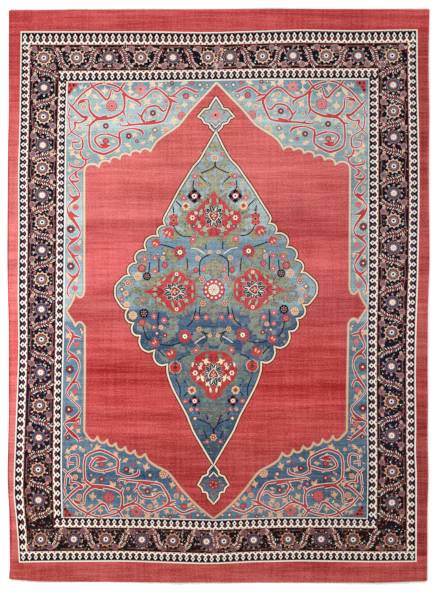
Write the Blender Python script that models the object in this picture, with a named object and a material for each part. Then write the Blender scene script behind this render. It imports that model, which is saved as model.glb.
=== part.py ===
"""A room-size hand-knotted carpet lying flat: knotted body, two overcast side cords and two fringed ends.

Metres, +Z up. The underside lies on z = 0 and the head of the pattern points to +Y.
The origin is under the middle of the whole carpet, fringes included.
"""

import math
import random
from typing import NamedTuple

import bmesh
import bpy

# Driving sizes.
CARPET_WIDTH = 2.700  # across the side cords, at the widest place
CARPET_LENGTH = 3.665  # of the knotted cloth, without the fringes
CLOTH_THICKNESS = 0.0095  # foundation and pile together, at the rim
PILE_WEAR = 0.0012  # how much lower the pile is in the middle of the carpet
PILE_ROUNDING = 0.0025  # the pile's own rounding along the cut rim
FIT_GAP = 0.0003  # between pieces that lie face to face

CORD_WIDTH = 0.010  # the overcast cord along each side
CORD_HEIGHT = 0.0092
CORD_FLAT_SHARE = 0.45  # share of the cord's width that lies flat on the floor
CORD_SIDES = 10

WEB_DEPTH = 0.0045  # the flat woven strip that the fringe hangs from
WEB_HEIGHT = 0.0030
LOCKS_PER_END = 150
LOCK_WIDTH_SHARE = 0.74  # of the pitch from lock to lock, at the root
LOCK_TIP_SHARE = 0.52  # of the pitch, at the tip
LOCK_TIP_HEIGHT = 0.0014
HEAD_LOCK_LENGTHS = (0.0065, 0.0100)
FOOT_LOCK_LENGTHS = (0.0070, 0.0140)
LOCK_LEAN = 0.0025  # the most that a lock's tip strays sideways

CELLS_ACROSS = 24  # straight runs along each end
CELLS_ALONG = 40  # straight runs along each side
SEED = 11


class SideStation(NamedTuple):
    """How far the two sides draw in from the widest line, at a height on the carpet."""

    y: float
    left_in: float
    right_in: float


SIDES = (
    SideStation(-1.832, 0.0090, 0.0150),
    SideStation(-1.589, 0.0235, 0.0130),
    SideStation(-1.366, 0.0120, 0.0125),
    SideStation(-1.175, 0.0020, 0.0070),
    SideStation(-0.920, 0.0060, 0.0110),
    SideStation(-0.665, 0.0110, 0.0100),
    SideStation(-0.219, 0.0100, 0.0135),
    SideStation(-0.028, 0.0045, 0.0080),
    SideStation(0.226, 0.0000, 0.0000),
    SideStation(0.609, 0.0020, 0.0030),
    SideStation(0.927, 0.0040, 0.0030),
    SideStation(1.180, 0.0090, 0.0010),
    SideStation(1.500, 0.0090, 0.0050),
    SideStation(1.832, 0.0100, 0.0005),
)


class EndStation(NamedTuple):
    """How far the head and the foot draw in from the longest line, at a place across the carpet."""

    x: float
    head_in: float
    foot_in: float


ENDS = (
    EndStation(-1.350, 0.0090, 0.0250),
    EndStation(-1.199, 0.0090, 0.0120),
    EndStation(-1.071, 0.0110, 0.0070),
    EndStation(-0.912, 0.0050, 0.0110),
    EndStation(-0.753, 0.0080, 0.0140),
    EndStation(-0.594, 0.0050, 0.0120),
    EndStation(-0.434, 0.0045, 0.0050),
    EndStation(-0.275, 0.0095, 0.0005),
    EndStation(-0.116, 0.0145, 0.0010),
    EndStation(0.043, 0.0115, 0.0045),
    EndStation(0.203, 0.0030, 0.0095),
    EndStation(0.362, 0.0000, 0.0115),
    EndStation(0.521, 0.0040, 0.0090),
    EndStation(0.680, 0.0070, 0.0065),
    EndStation(0.840, 0.0115, 0.0020),
    EndStation(0.999, 0.0085, 0.0000),
    EndStation(1.158, 0.0050, 0.0050),
    EndStation(1.350, 0.0020, 0.0110),
)


def smooth_between(places, values, at):
    """A soft curve through (place, value) pairs, level beyond the first and the last."""
    at = min(max(at, places[0]), places[-1])
    k = max(i for i in range(len(places) - 1) if places[i] <= at)
    before, after = max(k - 1, 0), min(k + 2, len(places) - 1)
    span = places[k + 1] - places[k]
    t = (at - places[k]) / span
    slope_a = (values[k + 1] - values[before]) / (places[k + 1] - places[before])
    slope_b = (values[after] - values[k]) / (places[after] - places[k])
    return (
        (2 * t**3 - 3 * t**2 + 1) * values[k]
        + (t**3 - 2 * t**2 + t) * span * slope_a
        + (3 * t**2 - 2 * t**3) * values[k + 1]
        + (t**3 - t**2) * span * slope_b
    )


def left_edge(y):
    """The outer side of the left cord."""
    return -CARPET_WIDTH / 2 + smooth_between([s.y for s in SIDES], [s.left_in for s in SIDES], y)


def right_edge(y):
    """The outer side of the right cord."""
    return CARPET_WIDTH / 2 - smooth_between([s.y for s in SIDES], [s.right_in for s in SIDES], y)


def head_edge(x):
    """Where the knots end at the head."""
    return CARPET_LENGTH / 2 - smooth_between([s.x for s in ENDS], [s.head_in for s in ENDS], x)


def foot_edge(x):
    """Where the knots end at the foot."""
    return -CARPET_LENGTH / 2 + smooth_between([s.x for s in ENDS], [s.foot_in for s in ENDS], x)


def wool(name, colour, roughness):
    """A plain dyed wool or cotton finish."""
    material = bpy.data.materials.new(name)
    material.use_nodes = True
    shader = material.node_tree.nodes["Principled BSDF"]
    shader.inputs["Base Color"].default_value = (*colour, 1.0)
    shader.inputs["Roughness"].default_value = roughness
    shader.inputs["Metallic"].default_value = 0.0
    return material


def new_piece(name, mesh_builder, material):
    """Turns a finished bmesh into an object of the carpet."""
    mesh = bpy.data.meshes.new(name)
    bmesh.ops.recalc_face_normals(mesh_builder, faces=mesh_builder.faces)
    mesh_builder.to_mesh(mesh)
    mesh_builder.free()
    mesh.materials.append(material)
    piece = bpy.data.objects.new(name, mesh)
    bpy.context.scene.collection.objects.link(piece)
    return piece


def body_point(s, t):
    """The place on the knotted cloth at the shares s across and t along."""
    inset = CORD_WIDTH + FIT_GAP
    y_flat = CARPET_LENGTH * (t - 0.5)
    x_left, x_right = left_edge(y_flat) + inset, right_edge(y_flat) - inset
    x = x_left + s * (x_right - x_left)
    return x, foot_edge(x) + t * (head_edge(x) - foot_edge(x))


def pile_height(s, t):
    """Full height at the rim, walked lower over the middle of the field."""
    worn = math.sin(math.pi * s) * math.sin(math.pi * t)
    return CLOTH_THICKNESS - PILE_WEAR * worn * worn


def knotted_body():
    """The knotted cloth in one piece, its cut rim rounded by the pile."""
    builder = bmesh.new()
    bmesh.ops.create_grid(builder, x_segments=CELLS_ACROSS, y_segments=CELLS_ALONG, size=0.5)
    upper = list(builder.faces)
    shares = {v: (v.co.x + 0.5, v.co.y + 0.5) for v in builder.verts}
    lower = bmesh.ops.extrude_face_region(builder, geom=upper, use_keep_orig=True)["geom"]
    for v in [e for e in lower if isinstance(e, bmesh.types.BMVert)]:
        s, t = v.co.x + 0.5, v.co.y + 0.5
        v.co = (*body_point(s, t), 0.0)
    for v, (s, t) in shares.items():
        v.co = (*body_point(s, t), pile_height(s, t))
    sole = [f for f in lower if isinstance(f, bmesh.types.BMFace)]
    bmesh.ops.dissolve_faces(builder, faces=sole)
    body = new_piece("knotted_body", builder, wool("madder_pile", (0.47, 0.075, 0.085), 0.95))
    rim = body.modifiers.new("pile rim", "BEVEL")
    rim.limit_method = "ANGLE"
    rim.angle_limit = math.radians(60)
    rim.width = PILE_ROUNDING
    rim.segments = 2
    return body


def cord_section():
    """The overcast cord's outline, flat below: (across, up) pairs, anticlockwise from its inner foot."""
    half_flat = CORD_FLAT_SHARE * CORD_WIDTH / 2
    foot_angle = math.acos(2 * half_flat / CORD_WIDTH)
    sweep = math.pi + 2 * foot_angle
    drop = math.sin(foot_angle)
    rise = CORD_HEIGHT / (1 + drop)
    points = []
    for k in range(CORD_SIDES):
        angle = -foot_angle + sweep * k / (CORD_SIDES - 1)
        points.append((math.cos(angle) * CORD_WIDTH / 2, (math.sin(angle) + drop) * rise))
    return points


def side_cord(name, edge, outward):
    """One overcast cord that follows its side of the carpet from foot to head."""
    builder = bmesh.new()
    rings = []
    for k in range(CELLS_ALONG + 1):
        y_flat = CARPET_LENGTH * (k / CELLS_ALONG - 0.5)
        x = edge(y_flat) - outward * CORD_WIDTH / 2
        y = foot_edge(x) + (k / CELLS_ALONG) * (head_edge(x) - foot_edge(x))
        rings.append([builder.verts.new((x + a, y, up)) for a, up in cord_section()])
    for lower, upper in zip(rings, rings[1:]):
        for k in range(CORD_SIDES):
            after = (k + 1) % CORD_SIDES
            builder.faces.new((lower[k], lower[after], upper[after], upper[k]))
    builder.faces.new(rings[0][::-1])
    builder.faces.new(rings[-1])
    cord = new_piece(name, builder, wool("madder_overcast", (0.42, 0.060, 0.070), 0.92))
    cord.data.shade_smooth()
    cord.data.set_sharp_from_angle(angle=math.radians(50))
    return cord


def straight_runs(edge, x_from, x_to, x):
    """The edge at x, cut into the straight runs that the knotted cloth has there."""
    run = (x_to - x_from) / CELLS_ACROSS
    k = min(int((x - x_from) / run), CELLS_ACROSS - 1)
    start = x_from + k * run
    share = (x - start) / run
    return edge(start) * (1 - share) + edge(start + run) * share


def fringe(name, edge, outward, lengths, rng):
    """A flat woven strip along one end, with the cut warps standing out of it in locks."""
    builder = bmesh.new()
    x_from = left_edge(outward * CARPET_LENGTH / 2) + CORD_WIDTH + FIT_GAP
    x_to = right_edge(outward * CARPET_LENGTH / 2) - CORD_WIDTH - FIT_GAP
    pitch = (x_to - x_from) / LOCKS_PER_END
    root_half, tip_half = LOCK_WIDTH_SHARE * pitch / 2, LOCK_TIP_SHARE * pitch / 2

    def row(x):
        """The strip's two corners at x: by the knots, and at the locks' roots."""
        inner = straight_runs(edge, x_from, x_to, x) + outward * FIT_GAP
        return builder.verts.new((x, inner, 0)), builder.verts.new((x, inner + outward * WEB_DEPTH, 0))

    places = [x_from]
    for k in range(LOCKS_PER_END):
        middle = x_from + (k + 0.5) * pitch
        places += [middle - root_half, middle + root_half]
    places.append(x_to)
    rows = [row(x) for x in places]
    for (inner_a, outer_a), (inner_b, outer_b) in zip(rows, rows[1:]):
        builder.faces.new((inner_a, outer_a, outer_b, inner_b))
    tips = set()
    for k in range(LOCKS_PER_END):
        root_a, root_b = rows[2 * k + 1][1], rows[2 * k + 2][1]
        lean = rng.uniform(-LOCK_LEAN, LOCK_LEAN)
        middle = (root_a.co.x + root_b.co.x) / 2 + lean
        y = edge(middle) + outward * (FIT_GAP + WEB_DEPTH + rng.uniform(*lengths))
        tip_a = builder.verts.new((middle - tip_half, y, 0))
        tip_b = builder.verts.new((middle + tip_half, y, 0))
        builder.faces.new((root_a, tip_a, tip_b, root_b))
        tips |= {tip_a, tip_b}
    tip_places = {tuple(round(c, 6) for c in v.co) for v in tips}
    sheet = list(builder.faces)
    raised = bmesh.ops.extrude_face_region(builder, geom=sheet, use_keep_orig=True)["geom"]
    for v in [e for e in raised if isinstance(e, bmesh.types.BMVert)]:
        at_tip = tuple(round(c, 6) for c in v.co) in tip_places
        v.co.z = LOCK_TIP_HEIGHT if at_tip else WEB_HEIGHT
    return new_piece(name, builder, wool("undyed_cotton", (0.80, 0.74, 0.62), 0.9))


def centre_on_origin(pieces):
    """Moves the carpet so that the origin lies under the middle of its outline."""
    places = [v.co for piece in pieces for v in piece.data.vertices]
    shift_x = -(min(p.x for p in places) + max(p.x for p in places)) / 2
    shift_y = -(min(p.y for p in places) + max(p.y for p in places)) / 2
    for piece in pieces:
        for v in piece.data.vertices:
            v.co.x += shift_x
            v.co.y += shift_y


def build():
    for old in list(bpy.data.objects):
        bpy.data.objects.remove(old)
    rng = random.Random(SEED)
    pieces = [
        knotted_body(),
        side_cord("side_cord_left", left_edge, -1),
        side_cord("side_cord_right", right_edge, 1),
        fringe("fringe_head", head_edge, 1, HEAD_LOCK_LENGTHS, rng),
        fringe("fringe_foot", foot_edge, -1, FOOT_LOCK_LENGTHS, rng),
    ]
    centre_on_origin(pieces)


build()
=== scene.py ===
"""The looks of a room-size knotted carpet: its dyed pattern, its overcast sides and its fringed ends.

The design is drawn on squared paper, as weavers do. Columns count from the left and rows from the head.
Each shape of the design is laid over the earlier ones, and the cloth takes the dye of the topmost.
"""

import math
import random
from typing import NamedTuple

import bmesh
import bpy
import numpy as np
from mathutils import Color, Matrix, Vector, noise
from mathutils.geometry import delaunay_2d_cdt


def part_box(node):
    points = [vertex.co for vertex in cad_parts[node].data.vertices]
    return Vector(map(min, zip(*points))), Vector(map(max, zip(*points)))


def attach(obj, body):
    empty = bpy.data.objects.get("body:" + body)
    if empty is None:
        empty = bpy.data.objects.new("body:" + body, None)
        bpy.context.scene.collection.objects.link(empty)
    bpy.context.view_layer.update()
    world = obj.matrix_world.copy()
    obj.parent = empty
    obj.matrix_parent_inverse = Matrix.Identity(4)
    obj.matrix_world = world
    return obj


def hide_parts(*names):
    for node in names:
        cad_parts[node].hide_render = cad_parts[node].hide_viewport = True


bl_info = {
    "name": "Knotted carpet",
    "version": (1, 0, 0),
    "blender": (4, 5, 0),
    "location": "View3D > Sidebar > Carpet",
    "description": "Weaves a room-size medallion carpet around its packed model",
    "category": "Object",
}

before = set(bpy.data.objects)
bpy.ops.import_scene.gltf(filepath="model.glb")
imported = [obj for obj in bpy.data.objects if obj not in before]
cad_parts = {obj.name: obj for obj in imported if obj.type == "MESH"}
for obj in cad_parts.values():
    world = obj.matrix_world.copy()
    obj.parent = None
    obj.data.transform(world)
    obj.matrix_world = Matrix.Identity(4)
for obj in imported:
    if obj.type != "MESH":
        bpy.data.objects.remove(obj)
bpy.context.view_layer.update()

# The squared paper, and where it lies on the floor.
SQUARE = 0.0064
MIDDLE_COLUMN = 218.35
MIDDLE_ROW = 295.5
HEAD_ROW = 9.2
FOOT_ROW = 582.0
CLOTH_LOW, CLOTH_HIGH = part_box("knotted_body")
CLOTH_MIDDLE = (CLOTH_LOW + CLOTH_HIGH) / 2

# The carpet's own sizes.
CARPET_WIDTH = 2.700
CARPET_LENGTH = 3.665
CLOTH_THICKNESS = 0.0095
PILE_WEAR = 0.0012
CORD_WIDTH = 0.010
CORD_HEIGHT = 0.0092
FIT_GAP = 0.0003

# What the camera sees: the middle of its view on the squared paper, and how many rows it takes in.
VIEW_MIDDLE = (222.5, 296.2)
VIEW_ROWS = 592
SENSOR_WIDTH = 36.0

# The floor's size, and the soft light's size, its place and the point that it shines on.
FLOOR_SIZE = 30.0
KEY_SIZE = 3.0
KEY_PLACE = (-3.4, -0.3, 3.4)
KEY_AIM = (-0.3, 0.0, 0.0)

# How far the sides draw in from the widest line: the height on the carpet, the left side and the right one.
SIDES = (
    (-1.832, 0.0090, 0.0150), (-1.589, 0.0235, 0.0130), (-1.366, 0.0120, 0.0125), (-1.175, 0.0020, 0.0070),
    (-0.920, 0.0060, 0.0110), (-0.665, 0.0110, 0.0100), (-0.219, 0.0100, 0.0135), (-0.028, 0.0045, 0.0080),
    (0.226, 0.0000, 0.0000), (0.609, 0.0020, 0.0030), (0.927, 0.0040, 0.0030), (1.180, 0.0090, 0.0010),
    (1.500, 0.0090, 0.0050), (1.832, 0.0100, 0.0005),
)

# How far the ends draw in from the longest line: the place across the carpet, the head and the foot.
ENDS = (
    (-1.350, 0.0090, 0.0250), (-1.199, 0.0090, 0.0120), (-1.071, 0.0110, 0.0070), (-0.912, 0.0050, 0.0110),
    (-0.753, 0.0080, 0.0140), (-0.594, 0.0050, 0.0120), (-0.434, 0.0045, 0.0050), (-0.275, 0.0095, 0.0005),
    (-0.116, 0.0145, 0.0010), (0.043, 0.0115, 0.0045), (0.203, 0.0030, 0.0095), (0.362, 0.0000, 0.0115),
    (0.521, 0.0040, 0.0090), (0.680, 0.0070, 0.0065), (0.840, 0.0115, 0.0020), (0.999, 0.0085, 0.0000),
    (1.158, 0.0050, 0.0050), (1.350, 0.0020, 0.0110),
)

# Each dye's colour down the carpet: a row of the design with red, green and blue. It runs on between rows.
DYES = {
    "madder": (
        (9, 200, 64, 65), (38, 193, 59, 60), (120, 211, 91, 89), (172, 214, 97, 96), (190, 203, 81, 82),
        (210, 206, 90, 91), (219, 204, 83, 84), (222, 184, 59, 62), (258, 214, 86, 89), (282, 206, 81, 85),
        (306, 186, 64, 66), (316, 186, 60, 63), (332, 200, 74, 76), (338, 195, 62, 63), (352, 199, 65, 66),
        (360, 184, 46, 48), (390, 187, 45, 46), (402, 203, 65, 66), (416, 185, 54, 54), (428, 202, 70, 70),
        (444, 185, 58, 58), (466, 176, 50, 50), (490, 182, 49, 49), (506, 164, 30, 34), (532, 181, 55, 55),
        (582, 183, 68, 64),
    ),
    # The outer band's left run is painted lighter and its right run darker, as light and shade fall on them.
    "painted_lit_left_band": (
        (9, 196, 68, 68), (80, 200, 70, 70), (120, 212, 83, 85), (200, 222, 109, 107), (280, 228, 113, 114),
        (350, 225, 92, 92), (410, 223, 110, 108), (480, 213, 107, 103), (582, 186, 72, 68),
    ),
    "painted_shade_right_band": (
        (9, 177, 58, 58), (120, 165, 50, 51), (200, 183, 69, 70), (285, 191, 75, 77), (350, 187, 84, 80),
        (374, 177, 59, 59), (450, 153, 45, 45), (582, 155, 45, 43),
    ),
    "vine_red": (
        (82, 204, 64, 70), (290, 202, 72, 78), (316, 196, 62, 66), (450, 172, 47, 49), (520, 172, 49, 48),
    ),
    "poppy": ((190, 204, 68, 76), (300, 196, 60, 68), (342, 186, 48, 53), (400, 182, 46, 50)),
    "celadon": ((190, 178, 190, 166), (400, 160, 176, 158)),
    "spandrel_blue": (
        (80, 118, 152, 168), (91, 126, 158, 172), (96, 160, 188, 193), (114, 168, 194, 198),
        (122, 186, 209, 211), (132, 160, 186, 189), (146, 154, 184, 189), (160, 138, 168, 176),
        (190, 146, 172, 178), (204, 184, 205, 208), (228, 178, 202, 206), (240, 142, 175, 188),
        (272, 146, 174, 186), (290, 170, 196, 202), (319, 170, 196, 204), (323, 96, 132, 156),
        (346, 92, 126, 148), (384, 102, 134, 154), (430, 84, 118, 141), (452, 66, 102, 127),
        (466, 64, 102, 127), (474, 40, 74, 104), (482, 40, 74, 104), (490, 60, 92, 114),
        (500, 80, 114, 136), (512, 84, 116, 136), (520, 58, 86, 110),
    ),
    "medallion_blue": (
        (96, 150, 180, 188), (140, 166, 192, 197), (170, 148, 176, 184), (216, 176, 197, 199),
        (236, 146, 174, 184), (243, 116, 150, 169), (262, 114, 148, 167), (274, 142, 172, 183),
        (306, 142, 170, 180), (312, 62, 97, 127), (338, 38, 75, 108), (360, 64, 101, 126),
        (390, 68, 105, 129), (446, 34, 69, 95), (466, 30, 64, 93), (492, 58, 96, 124), (505, 118, 142, 149),
    ),
    "steel": ((30, 118, 136, 148), (300, 104, 128, 150), (560, 80, 96, 118)),
    "indigo": ((30, 16, 17, 32), (250, 28, 28, 62), (430, 26, 25, 54), (562, 16, 13, 26)),
    "night": ((44, 17, 14, 26), (430, 24, 20, 42), (505, 26, 15, 20), (555, 24, 14, 17)),
    "ivory": ((9, 248, 241, 228), (300, 252, 245, 230), (582, 244, 235, 218)),
    "camel": (
        (44, 240, 204, 168), (80, 247, 218, 186), (300, 244, 200, 162), (440, 235, 180, 138),
        (516, 220, 166, 128), (526, 198, 142, 108),
    ),
    "straw": ((80, 250, 234, 212), (250, 246, 218, 182), (380, 246, 224, 190), (505, 242, 218, 182)),
    "rose": (
        (44, 216, 120, 116), (80, 232, 146, 146), (300, 222, 126, 126), (516, 200, 92, 94),
        (530, 180, 82, 76),
    ),
    "brick": ((38, 164, 52, 59), (520, 144, 44, 46), (560, 126, 42, 40)),
    "maroon": ((80, 104, 40, 46), (560, 78, 32, 36)),
    "sage": (
        (44, 150, 156, 128), (100, 172, 180, 150), (230, 156, 162, 134), (300, 136, 146, 120),
        (330, 128, 143, 130), (400, 92, 113, 104), (450, 56, 80, 76), (540, 92, 98, 82),
    ),
    "olive": (
        (100, 182, 180, 140), (230, 166, 166, 122), (300, 148, 150, 116), (330, 136, 147, 128),
        (400, 98, 115, 104), (450, 62, 84, 76),
    ),
    "mole": ((100, 170, 150, 142), (230, 156, 136, 130), (300, 138, 126, 128), (450, 80, 72, 80)),
    "umber": ((44, 132, 92, 76), (300, 132, 92, 76), (560, 98, 66, 53)),
}
DYE_ORDER = tuple(DYES)

# Points closer than this are one point, and a point closer to a line than this lies on it.
CLOSE = 2e-5
STRAIGHT = 1.2e-4
OUTSIDE = -1

# A line of the design is at least this wide, in squares. A run of it is drawn whole where each of its four
# corners turns by more than the second number, and else as those of its halves that pass the third.
THINNEST = 0.12
LEAST_TURN = 1e-3
LEAST_HALF = 0.04


def between(table, place):
    """The second column of a table at a place in its first, straight between rows."""
    return float(np.interp(place, [row[0] for row in table], [row[1] for row in table]))


def smooth_between(table, column, at):
    """A soft curve through a column of a table, level beyond its first and last row."""
    places = [row[0] for row in table]
    values = [row[column] for row in table]
    at = min(max(at, places[0]), places[-1])
    k = max(i for i in range(len(places) - 1) if places[i] <= at)
    before, after = max(k - 1, 0), min(k + 2, len(places) - 1)
    span = places[k + 1] - places[k]
    t = (at - places[k]) / span
    slope_a = (values[k + 1] - values[before]) / (places[k + 1] - places[before])
    slope_b = (values[after] - values[k]) / (places[after] - places[k])
    return (
        (2 * t**3 - 3 * t**2 + 1) * values[k]
        + (t**3 - 2 * t**2 + t) * span * slope_a
        + (3 * t**2 - 2 * t**3) * values[k + 1]
        + (t**3 - t**2) * span * slope_b
    )


def edge_of(table, column, half, outward):
    """A function that gives how far out the carpet's edge lies at a place along it."""
    return lambda place: outward * (half - smooth_between(table, column, place))


# The outer sides of the two cords, and where the knots end at the head and the foot.
left_edge = edge_of(SIDES, 1, CARPET_WIDTH / 2, -1)
right_edge = edge_of(SIDES, 2, CARPET_WIDTH / 2, 1)
head_edge = edge_of(ENDS, 1, CARPET_LENGTH / 2, 1)
foot_edge = edge_of(ENDS, 2, CARPET_LENGTH / 2, -1)


def on_floor(column, row):
    """The place of a square of the design, in metres."""
    return (
        CLOTH_MIDDLE.x + (column - MIDDLE_COLUMN) * SQUARE,
        CLOTH_MIDDLE.y + (MIDDLE_ROW - row) * SQUARE,
    )


class Cartoon:
    """The design as flat shapes in one dye each, laid one over another."""

    def __init__(self):
        self.points = []
        self.shapes = []

    def floor_shape(self, dye, outline):
        """A shape whose outline is in metres."""
        area = sum(a[0] * b[1] - b[0] * a[1] for a, b in zip(outline, outline[1:] + outline[:1]))
        start = len(self.points)
        self.points += outline if area > 0 else outline[::-1]
        self.shapes.append((dye, range(start, start + len(outline))))

    def shape(self, dye, outline):
        """A shape whose outline is in squares."""
        self.floor_shape(dye, [on_floor(*point) for point in outline])

    def line(self, dye, route, widths):
        """A line of knots along a route, in one four-sided piece for each run of it."""
        if not hasattr(widths, "__len__"):
            widths = [widths] * len(route)
        edges = []
        for k, (x, y) in enumerate(route):
            before, after = route[max(k - 1, 0)], route[min(k + 1, len(route) - 1)]
            dx, dy = after[0] - before[0], after[1] - before[1]
            size = math.hypot(dx, dy) or 1.0
            half = max(widths[k], THINNEST) / 2
            u, v = -dy / size * half, dx / size * half
            edges.append(((x + u, y + v), (x - u, y - v)))
        for (left_a, right_a), (left_b, right_b) in zip(edges, edges[1:]):
            corners = [left_a, left_b, right_b, right_a]
            turns = [turn_at(*(corners[(k + j) % 4] for j in range(3))) for k in range(4)]
            if min(turns) > LEAST_TURN or max(turns) < -LEAST_TURN:
                self.shape(dye, corners)
                continue
            for three in (corners[:3], [corners[0], *corners[2:]]):
                if abs(turn_at(*three)) > LEAST_HALF:
                    self.shape(dye, three)

    def dot(self, dye, x, y, size, corners=4, turn=0.0):
        """A small even spot of one dye."""
        self.shape(dye, polygon(x, y, size, size, corners, turn))


def turn_at(a, b, c):
    """Twice the signed area of a triangle."""
    return (b[0] - a[0]) * (c[1] - a[1]) - (b[1] - a[1]) * (c[0] - a[0])


def polygon(x, y, outer, inner, corners, turn=0.0):
    """A star of so many points, or an even polygon where both sizes are the same."""
    if outer == inner:
        angles = [turn + math.tau * k / corners for k in range(corners)]
        return [(x + outer * math.cos(a), y + outer * math.sin(a)) for a in angles]
    angles = [turn + math.pi * k / corners for k in range(2 * corners)]
    sizes = [outer, inner] * corners
    return [(x + r * math.cos(a), y + r * math.sin(a)) for a, r in zip(angles, sizes)]


def around(x, y, reach, share):
    """The place at a distance from a middle, by a share of a whole turn from the right towards the foot."""
    return x + reach * math.cos(math.tau * share), y + reach * math.sin(math.tau * share)


def mirrored(half):
    """A whole outline from one half of it, whose two ends lie on the mirror line."""
    return [*half, *((u, -v) for u, v in half[-2:0:-1])]


def curve(route, steps=3):
    """A soft line through the points of a route, of two or three numbers each."""
    points = np.array(route, float)
    ends = np.concatenate([points[:1], points, points[-1:]])
    soft = []
    for p, q, r, s in zip(ends, ends[1:], ends[2:], ends[3:]):
        for step in range(steps):
            t = step / steps
            bend = (2 * p - 5 * q + 4 * r - s) * t**2 + (3 * q - p - 3 * r + s) * t**3
            soft.append(tuple((0.5 * (2 * q + (r - p) * t + bend)).tolist()))
    return soft + [tuple(route[-1])]


# Each kind of flower, as rings of a dye, an outer and an inner size in shares of its own, and corners.
FLOWERS = {
    "camel_rosette": (
        ("camel", 1.0, 0.76, 11), ("brick", 0.76, 0.66, 11), ("night", 0.64, 0.58, 10),
        ("steel", 0.6, 0.48, 10), ("brick", 0.42, 0.36, 8), ("ivory", 0.34, 0.25, 8),
        ("night", 0.17, 0.13, 4),
    ),
    "blue_rosette": (
        ("steel", 1.0, 0.8, 10), ("night", 0.8, 0.7, 10), ("brick", 0.7, 0.6, 10), ("steel", 0.56, 0.46, 9),
        ("ivory", 0.43, 0.31, 8), ("camel", 0.22, 0.17, 5),
    ),
    "ring": (
        ("rose", 1.0, 1.0, 8), ("maroon", 0.74, 0.74, 8), ("steel", 0.6, 0.6, 6), ("night", 0.3, 0.14, 4),
    ),
    "small_camel": (("camel", 1.0, 0.72, 6), ("brick", 0.45, 0.45, 5), ("ivory", 0.2, 0.2, 4)),
    "star": (
        ("rose", 1.0, 0.62, 8), ("vine_red", 0.66, 0.48, 8), ("rose", 0.56, 0.5, 8),
        ("sage", 0.34, 0.24, 6), ("brick", 0.14, 0.14, 5),
    ),
    "rose_round": (
        ("vine_red", 1.0, 0.84, 10), ("rose", 0.86, 0.68, 10), ("brick", 0.58, 0.46, 9),
        ("rose", 0.48, 0.42, 8), ("maroon", 0.17, 0.17, 5),
    ),
    "camel_round": (
        ("camel", 1.0, 0.78, 8), ("brick", 0.66, 0.46, 7), ("camel", 0.44, 0.34, 5),
        ("maroon", 0.2, 0.2, 4),
    ),
    "dark_round": (
        ("maroon", 1.0, 0.84, 9), ("brick", 0.62, 0.52, 7), ("rose", 0.4, 0.34, 6),
        ("ivory", 0.18, 0.18, 4),
    ),
    "dark_petals": (
        ("maroon", 1.0, 0.8, 9), ("brick", 0.8, 0.58, 9), ("maroon", 0.46, 0.46, 8),
        ("ivory", 0.25, 0.25, 6),
    ),
    "night_petals": (
        ("night", 1.0, 0.84, 9), ("camel", 0.66, 0.34, 7), ("night", 0.42, 0.42, 7),
        ("rose", 0.22, 0.22, 4),
    ),
    "rose_small": (
        ("brick", 1.12, 0.84, 6), ("rose", 0.98, 0.7, 6), ("vine_red", 0.6, 0.48, 6),
        ("ivory", 0.28, 0.22, 4),
    ),
    "red_small": (
        ("maroon", 1.08, 0.86, 6), ("vine_red", 0.98, 0.66, 6), ("rose", 0.5, 0.5, 5),
        ("maroon", 0.24, 0.24, 4),
    ),
    "red_camel": (
        ("maroon", 1.12, 0.9, 6), ("camel", 1.0, 0.7, 6), ("brick", 0.66, 0.46, 6),
        ("ivory", 0.22, 0.22, 4),
    ),
    "white_bud": (("ivory", 1.0, 0.66, 6), ("brick", 0.42, 0.42, 5)),
    "steel_bud": (("maroon", 1.1, 0.9, 6), ("steel", 0.8, 0.6, 5), ("ivory", 0.28, 0.28, 4)),
    "sage_bud": (("brick", 1.15, 1.0, 6), ("sage", 0.95, 0.8, 6)),
    "madder_star": (
        ("vine_red", 1.0, 0.78, 8), ("brick", 0.76, 0.6, 8), ("celadon", 0.66, 0.3, 8),
        ("brick", 0.48, 0.48, 8), ("ivory", 0.36, 0.28, 8), ("maroon", 0.14, 0.14, 4),
    ),
    "camel_dots": (
        ("camel", 1.0, 0.84, 8), ("umber", 0.82, 0.36, 7), ("camel", 0.46, 0.36, 6), ("brick", 0.2, 0.2, 4),
    ),
    "camel_tulip": (("camel", 1.0, 0.8, 7), ("maroon", 0.56, 0.4, 4), ("vine_red", 0.46, 0.3, 4)),
    "pendant_bud": (("rose", 1.0, 0.7, 5), ("sage", 0.78, 0.6, 5)),
    "dark_bud": (("maroon", 1.0, 0.64, 4), ("camel", 0.62, 0.44, 4), ("ivory", 0.22, 0.22, 4)),
}

# Leaves lie along a line from their base at 0 to their tip at 1, and their second number goes across it.
LEAVES = {
    "fleur": (
        (0.0, -0.06), (0.26, -0.10), (0.34, -0.36), (0.64, -0.50), (0.55, -0.22), (0.70, -0.13), (1.0, 0.0),
        (0.74, 0.12), (0.58, 0.22), (0.68, 0.48), (0.36, 0.34), (0.26, 0.10), (0.0, 0.06),
    ),
    "barb": (
        (0.0, -0.04), (0.22, -0.07), (0.38, -0.34), (0.62, -0.42), (0.56, -0.16), (0.84, -0.26),
        (1.0, 0.02), (0.74, 0.17), (0.44, 0.20), (0.20, 0.10), (0.0, 0.05),
    ),
    "plain": ((0.0, 0.0), (0.30, -0.24), (0.66, -0.22), (1.0, 0.0), (0.66, 0.22), (0.30, 0.24)),
    "toothed": (
        (0.0, 0.0), (0.12, -0.26), (0.26, -0.18), (0.40, -0.36), (0.52, -0.20), (0.70, -0.28), (1.0, 0.0),
        (0.70, 0.28), (0.52, 0.20), (0.40, 0.36), (0.26, 0.18), (0.12, 0.26),
    ),
}


def flower(cartoon, kind, x, y, size, turn=0.0, tall=1.0):
    """A flower of rings around a place of the design."""
    for dye, outer, inner, corners in FLOWERS[kind]:
        outline = polygon(0, 0, outer * size, inner * size, corners, turn)
        cartoon.shape(dye, [(x + dx, y + dy * tall) for dx, dy in outline])


def paint_flowers(cartoon, flowers, place, turn=0.0):
    """All flowers of a table, put in place by a function."""
    for kind, places in flowers.items():
        for x, y, size in places:
            flower(cartoon, kind, *place(x, y), size, turn)


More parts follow.
